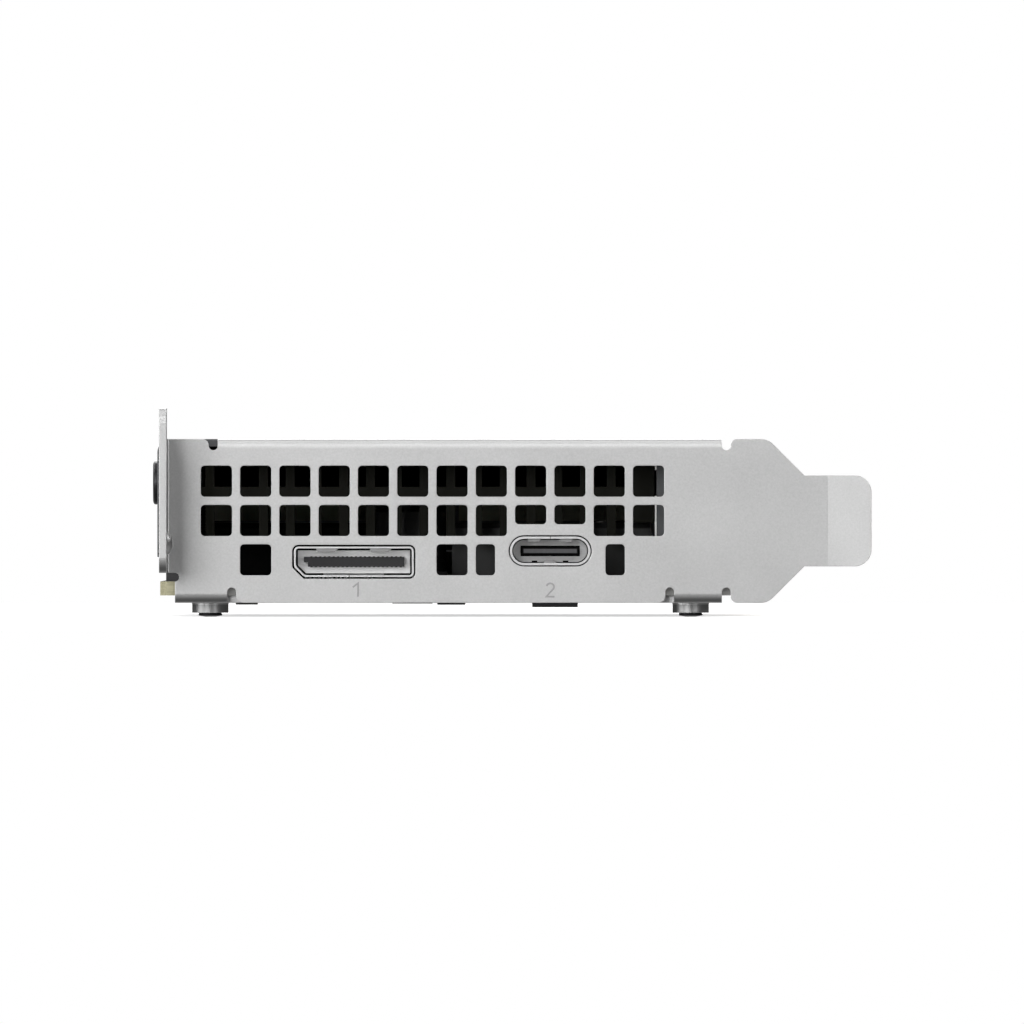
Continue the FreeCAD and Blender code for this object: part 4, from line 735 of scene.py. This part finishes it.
def cover_seals():
    """Foam between the cover's skirts and the heat sink: strips parted round the screws, and rear pads."""
    cover_t, room, eased = 0.85, 0.05, 0.03
    skirts, sink = extent("cover"), extent("heat_sink")
    left = (skirts[0].x + cover_t, sink[0].x - room)
    right = (sink[1].x + room, skirts[1].x - cover_t)
    front, end = 5.3, 26.0
    below_screw, above_screw = (4.2, 9.6), (12.5, 14.3)
    rear_front, rear_end, rear_low, rear_high = 127.6, 128.4, 4.9, 14.0
    shape = bmesh.new()
    for x0, x1 in (left, right):
        for low, high in (below_screw, above_screw):
            brick(shape, (x0, front, low), (x1, end, high), eased)
        brick(shape, (x0, rear_front, rear_low), (x1, rear_end, rear_high), eased)
    piece("cover_seals", shape, FOAM)


def socket_contacts():
    """Gold spring contacts in the drive sockets' slots and their tinned tails on the board."""
    pitch, each_side, half_width, thickness = 0.5, 18, 0.11, 0.1
    # The slot's key stands this far right of the middle, and takes the place of the contacts near it
    key, key_room = 6.1, 0.88
    slot_z = 5.25
    springs, tails = bmesh.new(), bmesh.new()
    for low, high in SOCKETS:
        middle, front, rear = (low.x + high.x) / 2, low.y, high.y
        upper = [(rear - 5.3, 5.8), (rear - 3.2, 5.5), (rear - 2.2, 5.48), (rear - 1.0, 5.68)]
        lower = [(y, 2 * slot_z - z) for y, z in upper]
        front_tail = [(front + 0.2, 0.45), (front - 0.25, 0.45), (front - 0.45, 0.06), (front - 1.1, 0.06)]
        rear_tail = [(front + rear - y, z) for y, z in front_tail]
        for row, tail, shift in ((upper, front_tail, 0), (lower, rear_tail, pitch / 2)):
            for i in range(-each_side, each_side + 1):
                offset = pitch * i + shift
                if abs(offset - key) < key_room:
                    continue
                sides = (middle + offset - half_width, middle + offset + half_width)
                bent_wire(springs, row, thickness, *sides)
                bent_wire(tails, tail, thickness, *sides)
    piece("socket_springs", springs, GOLD)
    piece("socket_tails", tails, TIN)


# Board details

def traces():
    """Copper runs under the mask: edge fingers to coupling capacitors above, and to the sockets below."""
    top, under = (-0.01, 0.025), (BOARD_LOW - 0.025, BOARD_LOW + 0.01)
    width, supply_width = 0.3, 1.6
    root = FINGER_X + 0.2
    lap, bend_x, inner_x = 0.1, 60.0, 54.0
    lanes, lane_pitch, corner = 16, 0.85, 1.5
    end_via = [(0.3, under[1]), (0.34, under[0]), (0.14, under[0] - 0.03)]
    # Each bundle of lower runs has its first finger, its first column and where it ends
    bundles = ((SHORT_ROW, 56.0, 24.0), (39, 26.2, 36.0))
    supply = [(FINGER_X, 47.9), (59.6, 47.9), (58.2, 46.5), (58.2, 22.6)]
    supply += [(56.8, 21.2), (35.5, 21.2), (33.0, 18.7)]
    shape = bmesh.new()
    for y in CERAMIC_Y:
        finger = y - FINGER_SHIFT
        outer = [(CERAMICS[1].x - lap, y), (bend_x, y), (bend_x + FINGER_SHIFT, finger), (root, finger)]
        strip(shape, outer, width, *top)
        strip(shape, [(CERAMICS[0].x + lap, y), (inner_x, y)], width, *top)
    for i in range(lanes):
        for first, side, end in bundles:
            finger, column = FINGER_Y[first + i], side - lane_pitch * i
            run = [(root, finger), (column + corner, finger), (column, finger - corner), (column, end)]
            strip(shape, run, width, *under)
            disc(shape, column, end, end_via, steps=12)
    strip(shape, supply, supply_width, *under)
    piece("traces", shape, COPPER)


def vias():
    """Tented stitching vias round the board's rim, and one at the root of each idle finger."""
    pitch, steps = 5.0, 12
    left_x, left_start, left_count = 2.2, 10.0, 25
    rear_y, rear_start, rear_count = 131.2, 6.0, 11
    root_x, near = 62.2, 0.2
    upper = [(0.3, -0.01), (0.36, 0.02), (0.12, 0.05)]
    lower = [(r, BOARD_LOW - z) for r, z in upper]
    rim = [(left_x, left_start + pitch * i) for i in range(left_count)]
    rim += [(rear_start + pitch * i, rear_y) for i in range(rear_count)]
    shape = bmesh.new()
    for x, y in rim:
        disc(shape, x, y, upper, steps)
        disc(shape, x, y, lower, steps)
    for y in FINGER_Y:
        if all(abs(y + FINGER_SHIFT - served) > near for served in CERAMIC_Y):
            disc(shape, root_x, y, upper, steps)
    piece("vias", shape, COPPER)


def solder():
    """Solder on the lower face: joints of the shell legs, and rings under the heat sink screws."""
    joint = [(0.75, 0.01), (0.7, -0.08), (0.45, -0.3), (0.2, -0.42)]
    ring = [(2.9, 0.01), (2.9, -0.03), (2.7, -0.04)]
    leg_stretch = 1.5
    shape = bmesh.new()
    for x, y in LINK_PORT_LEGS + TYPE_C_LEGS:
        disc(shape, x, y, [(r, BOARD_LOW + z) for r, z in joint], steps=20, stretch=leg_stretch)
    for x, y in POSTS:
        disc(shape, x, y, [(r, BOARD_LOW + z) for r, z in ring], steps=40)
    piece("solder", shape, TIN)


def chip_lands():
    """Tinned lands of the leadless chips, which show as a row of tabs along two sides of each."""
    pitch, half_width, margin = 0.8, 0.2, 0.3
    reach, tuck = 0.35, 0.2
    low_z, high_z, eased = BOARD_LOW - 0.14, BOARD_LOW + 0.01, 0.04
    shape = bmesh.new()
    for low, high in LOWER_CHIPS:
        count = int((high.x - low.x - margin) / pitch)
        first = (low.x + high.x) / 2 - pitch / 2 * (count - 1)
        for i in range(count):
            x = first + pitch * i
            for front, rear in ((low.y - reach, low.y + tuck), (high.y - tuck, high.y + reach)):
                brick(shape, (x - half_width, front, low_z), (x + half_width, rear, high_z), eased)
    piece("chip_lands", shape, TIN)


def ceramic_ends():
    """Tinned end caps of the coupling capacitors."""
    skin, cap, eased = 0.05, 0.22, 0.05
    half_width = CERAMIC_W / 2 + skin / 2
    low_z, high_z = -0.01, CERAMICS[1].z + 0.03
    left = (CERAMICS[0].x - skin, CERAMICS[0].x + cap)
    right = (CERAMICS[1].x - cap, CERAMICS[1].x + skin)
    shape = bmesh.new()
    for y in CERAMIC_Y:
        for x0, x1 in (left, right):
            brick(shape, (x0, y - half_width, low_z), (x1, y + half_width, high_z), eased)
    piece("ceramic_ends", shape, TIN)


def small_parts():
    """Chip resistors and capacitors of the supply, in rows, with their tinned ends."""
    upper, lower = 1, -1
    # Each row has its first corner, the step to the next part, a count and its side of the board
    rows = [
        ((57.6, 12.0), (0.0, 1.7), 10, upper),
        ((60.4, 12.0), (0.0, 1.7), 6, upper),
        ((36.4, 14.2), (0.0, 1.5), 4, lower),
        ((21.6, 16.4), (0.0, 1.5), 4, lower),
        ((40.6, 20.2), (1.9, 0.0), 4, lower),
        ((12.4, 14.4), (0.0, 1.5), 3, lower),
    ]
    length, width, cap, inset = 1.6, 0.8, 0.3, 0.2
    skin, sunk = 0.02, 0.01
    body_eased, end_eased = 0.04, 0.05
    resistor_h, capacitor_h = 0.35, 0.6
    resistors, capacitors, ends = bmesh.new(), bmesh.new(), bmesh.new()
    for (x0, y0), (step_x, step_y), count, side in rows:
        for i in range(count):
            x, y = x0 + step_x * i, y0 + step_y * i
            # Every third part is a resistor, which is flatter
            body, tall = (resistors, resistor_h) if i % 3 == 2 else (capacitors, capacitor_h)
            low, high = (0.0, tall) if side == upper else (BOARD_LOW - tall, BOARD_LOW)
            far = (x + length - inset, y + width, high - skin)
            brick(body, (x + inset, y, low + skin), far, body_eased)
            for end in (x, x + length - cap):
                far = (end + cap, y + width + skin, high)
                brick(ends, (end, y - skin, low - sunk * side), far, end_eased)
    piece("small_resistors", resistors, EPOXY)
    piece("small_capacitors", capacitors, CERAMIC)
    piece("small_part_ends", ends, TIN)


def inductor_wire():
    """The bright flat wire that crosses the power inductor's front, seen through a vent."""
    low, high = extent("power_inductor")
    inset, height, width = 0.2, 3.41, 0.22
    proud, sunk = 0.2, 0.04
    shape = bmesh.new()
    path = [(low.x + inset, height), (high.x - inset, height)]
    strip(shape, path, width, -low.y - sunk, -low.y + proud, on_plate)
    piece("inductor_wire", shape, TIN)


def board_ink():
    """White outlines round the lower chips, with a dot at each one's first land."""
    under = (BOARD_LOW - 0.02, BOARD_LOW + 0.005)
    pen, tick = 0.16, 0.8
    side_room, end_room = 0.45, 0.65
    dot_left, dot_back = 0.5, 0.4
    dot = [(0.22, under[1]), (0.22, under[0]), (0.2, under[0] - 0.005)]
    shape = bmesh.new()
    for low, high in LOWER_CHIPS:
        x0, x1 = low.x - side_room, high.x + side_room
        y0, y1 = low.y - end_room, high.y + end_room
        for x in (x0, x1):
            strip(shape, [(x, y0), (x, y1)], pen, *under)
        for y in (y0, y1):
            for left, right in ((x0, x0 + tick), (x1 - tick, x1)):
                strip(shape, [(left, y), (right, y)], pen, *under)
        disc(shape, x0 - dot_left, y0 + dot_back, dot, steps=14)
    piece("board_ink", shape, WHITE_INK)


# Studio

def floor_paper():
    """Matte white floor paper with a very faint mottle, which glows a little so that it stays pale."""
    glow = {"Emission_Color": srgb("#ffffff"), "Emission_Strength": 0.6}
    material, tree, shader, where = start("White floor paper", **glow)
    mottle = add(tree, "TexNoise", {"Vector": where, "Scale": per_mm(4.0), "Detail": 3.0}).outputs["Fac"]
    tone = add(tree, "Mix", {SHARE: mottle, FROM: srgb("#cccccc"), TO: srgb("#d4d4d4")}, data_type="RGBA")
    rough = add(tree, "MapRange", {"Value": mottle, "To Min": 0.85, "To Max": 0.95}).outputs["Result"]
    feed(tree, shader, tone.outputs[TONE], rough)
    return material


def floor():
    """A pale floor under the card, left out of reflections so that the plating shows dark from below."""
    half = 0.6
    corners = [(-half, -half, 0), (half, -half, 0), (half, half, 0), (-half, half, 0)]
    data = bpy.data.meshes.new("floor")
    data.from_pydata(corners, [], [(0, 1, 2, 3)])
    data.materials.append(floor_paper())
    made = bpy.data.objects.new("floor", data)
    made.visible_glossy = False
    bpy.context.scene.collection.objects.link(made)


def backdrop():
    """A white backdrop for the camera; for the light a dim sky, with a paler band below the horizon."""
    world = bpy.data.worlds.new("studio")
    world.use_nodes = True
    bpy.context.scene.world = world
    tree = world.node_tree
    tree.nodes.clear()
    way = add(tree, "TexCoord").outputs["Generated"]
    rise = add(tree, "SeparateXYZ", {"Vector": way}).outputs["Z"]
    # The band fades in and out between these rises, where -1 is straight down
    over = add(tree, "MapRange", {"Value": rise, "From Min": -0.9, "From Max": -0.6}).outputs["Result"]
    under = add(tree, "MapRange", {"Value": rise, "From Min": -0.1, "From Max": -0.4}).outputs["Result"]
    band = add(tree, "Math", {0: over, 1: under}, operation="MULTIPLY").outputs["Value"]
    tone = add(tree, "Mix", {SHARE: band, FROM: srgb("#666666"), TO: srgb("#bcbcbc")}, data_type="RGBA")
    sky = add(tree, "Background", {"Color": tone.outputs[TONE], "Strength": 1.0})
    paper = add(tree, "Background", {"Color": srgb("#ffffff"), "Strength": 1.0})
    seen = add(tree, "LightPath").outputs["Is Camera Ray"]
    both = add(tree, "MixShader", {0: seen, 1: sky.outputs[0], 2: paper.outputs[0]})
    add(tree, "OutputWorld", {"Surface": both.outputs[0]})


def camera():
    """A long lens straight on to the bracket's face, framed as the photograph is."""
    photo_width, pixels_per_mm = 1024, 8.93
    middle_x, middle_z = 39.44, 7.78
    lens = bpy.data.cameras.new("front_camera")
    lens.lens = 1500.0
    lens.sensor_width = 36.0
    distance = lens.lens / lens.sensor_width * photo_width / pixels_per_mm
    made = bpy.data.objects.new("front_camera", lens)
    made.location = at(middle_x, -distance, middle_z)
    made.rotation_euler = (math.radians(90), 0, 0)
    bpy.context.scene.collection.objects.link(made)
    bpy.context.scene.camera = made


def softbox(name, azimuth, elevation, width, height, power):
    """A soft light 2 m from the card; azimuth is in degrees to the right of the camera's side."""
    distance = 2.0
    data = bpy.data.lights.new(name, "AREA")
    data.shape = "RECTANGLE"
    data.size, data.size_y = width, height
    data.energy = power
    made = bpy.data.objects.new(name, data)
    turn, rise = math.radians(azimuth), math.radians(elevation)
    way = Vector((math.sin(turn) * math.cos(rise), -math.cos(turn) * math.cos(rise), math.sin(rise)))
    made.location = distance * way
    made.rotation_euler = (-way).to_track_quat("-Z", "Y").to_euler()
    bpy.context.scene.collection.objects.link(made)


def studio():
    """Camera, floor, backdrop and soft lights: a key and fills in front, one above, and three behind."""
    camera()
    floor()
    backdrop()
    # Azimuth and elevation in degrees, width and height in metres, power in watts
    softbox("left_rim", -62, 10, 1.0, 1.2, 24.0)
    softbox("front_left_key", -34, 12, 1.0, 1.0, 6.0)
    softbox("front_key", -20, 10, 0.8, 0.9, 17.8)
    softbox("front_right_fill", 29, 10, 0.5, 0.9, 9.2)
    softbox("high_front_light", 0, 44, 1.4, 0.6, 10.0)
    softbox("top_light", 0, 88, 1.6, 1.8, 17.0)
    softbox("rear_light", 180, 32, 1.6, 1.0, 22.0)
    softbox("rear_left_light", -118, 32, 1.2, 1.0, 20.0)
    softbox("rear_right_light", 118, 32, 1.2, 1.0, 20.0)
    bpy.context.scene.view_settings.view_transform = "Standard"


dress_nodes()
screws()
port_numbers()
shell_seams_and_notch_shade()
wide_port_wall()
round_port_painted_shade()
cover_seals()
socket_contacts()
traces()
vias()
solder()
chip_lands()
ceramic_ends()
small_parts()
inductor_wire()
board_ink()
studio()
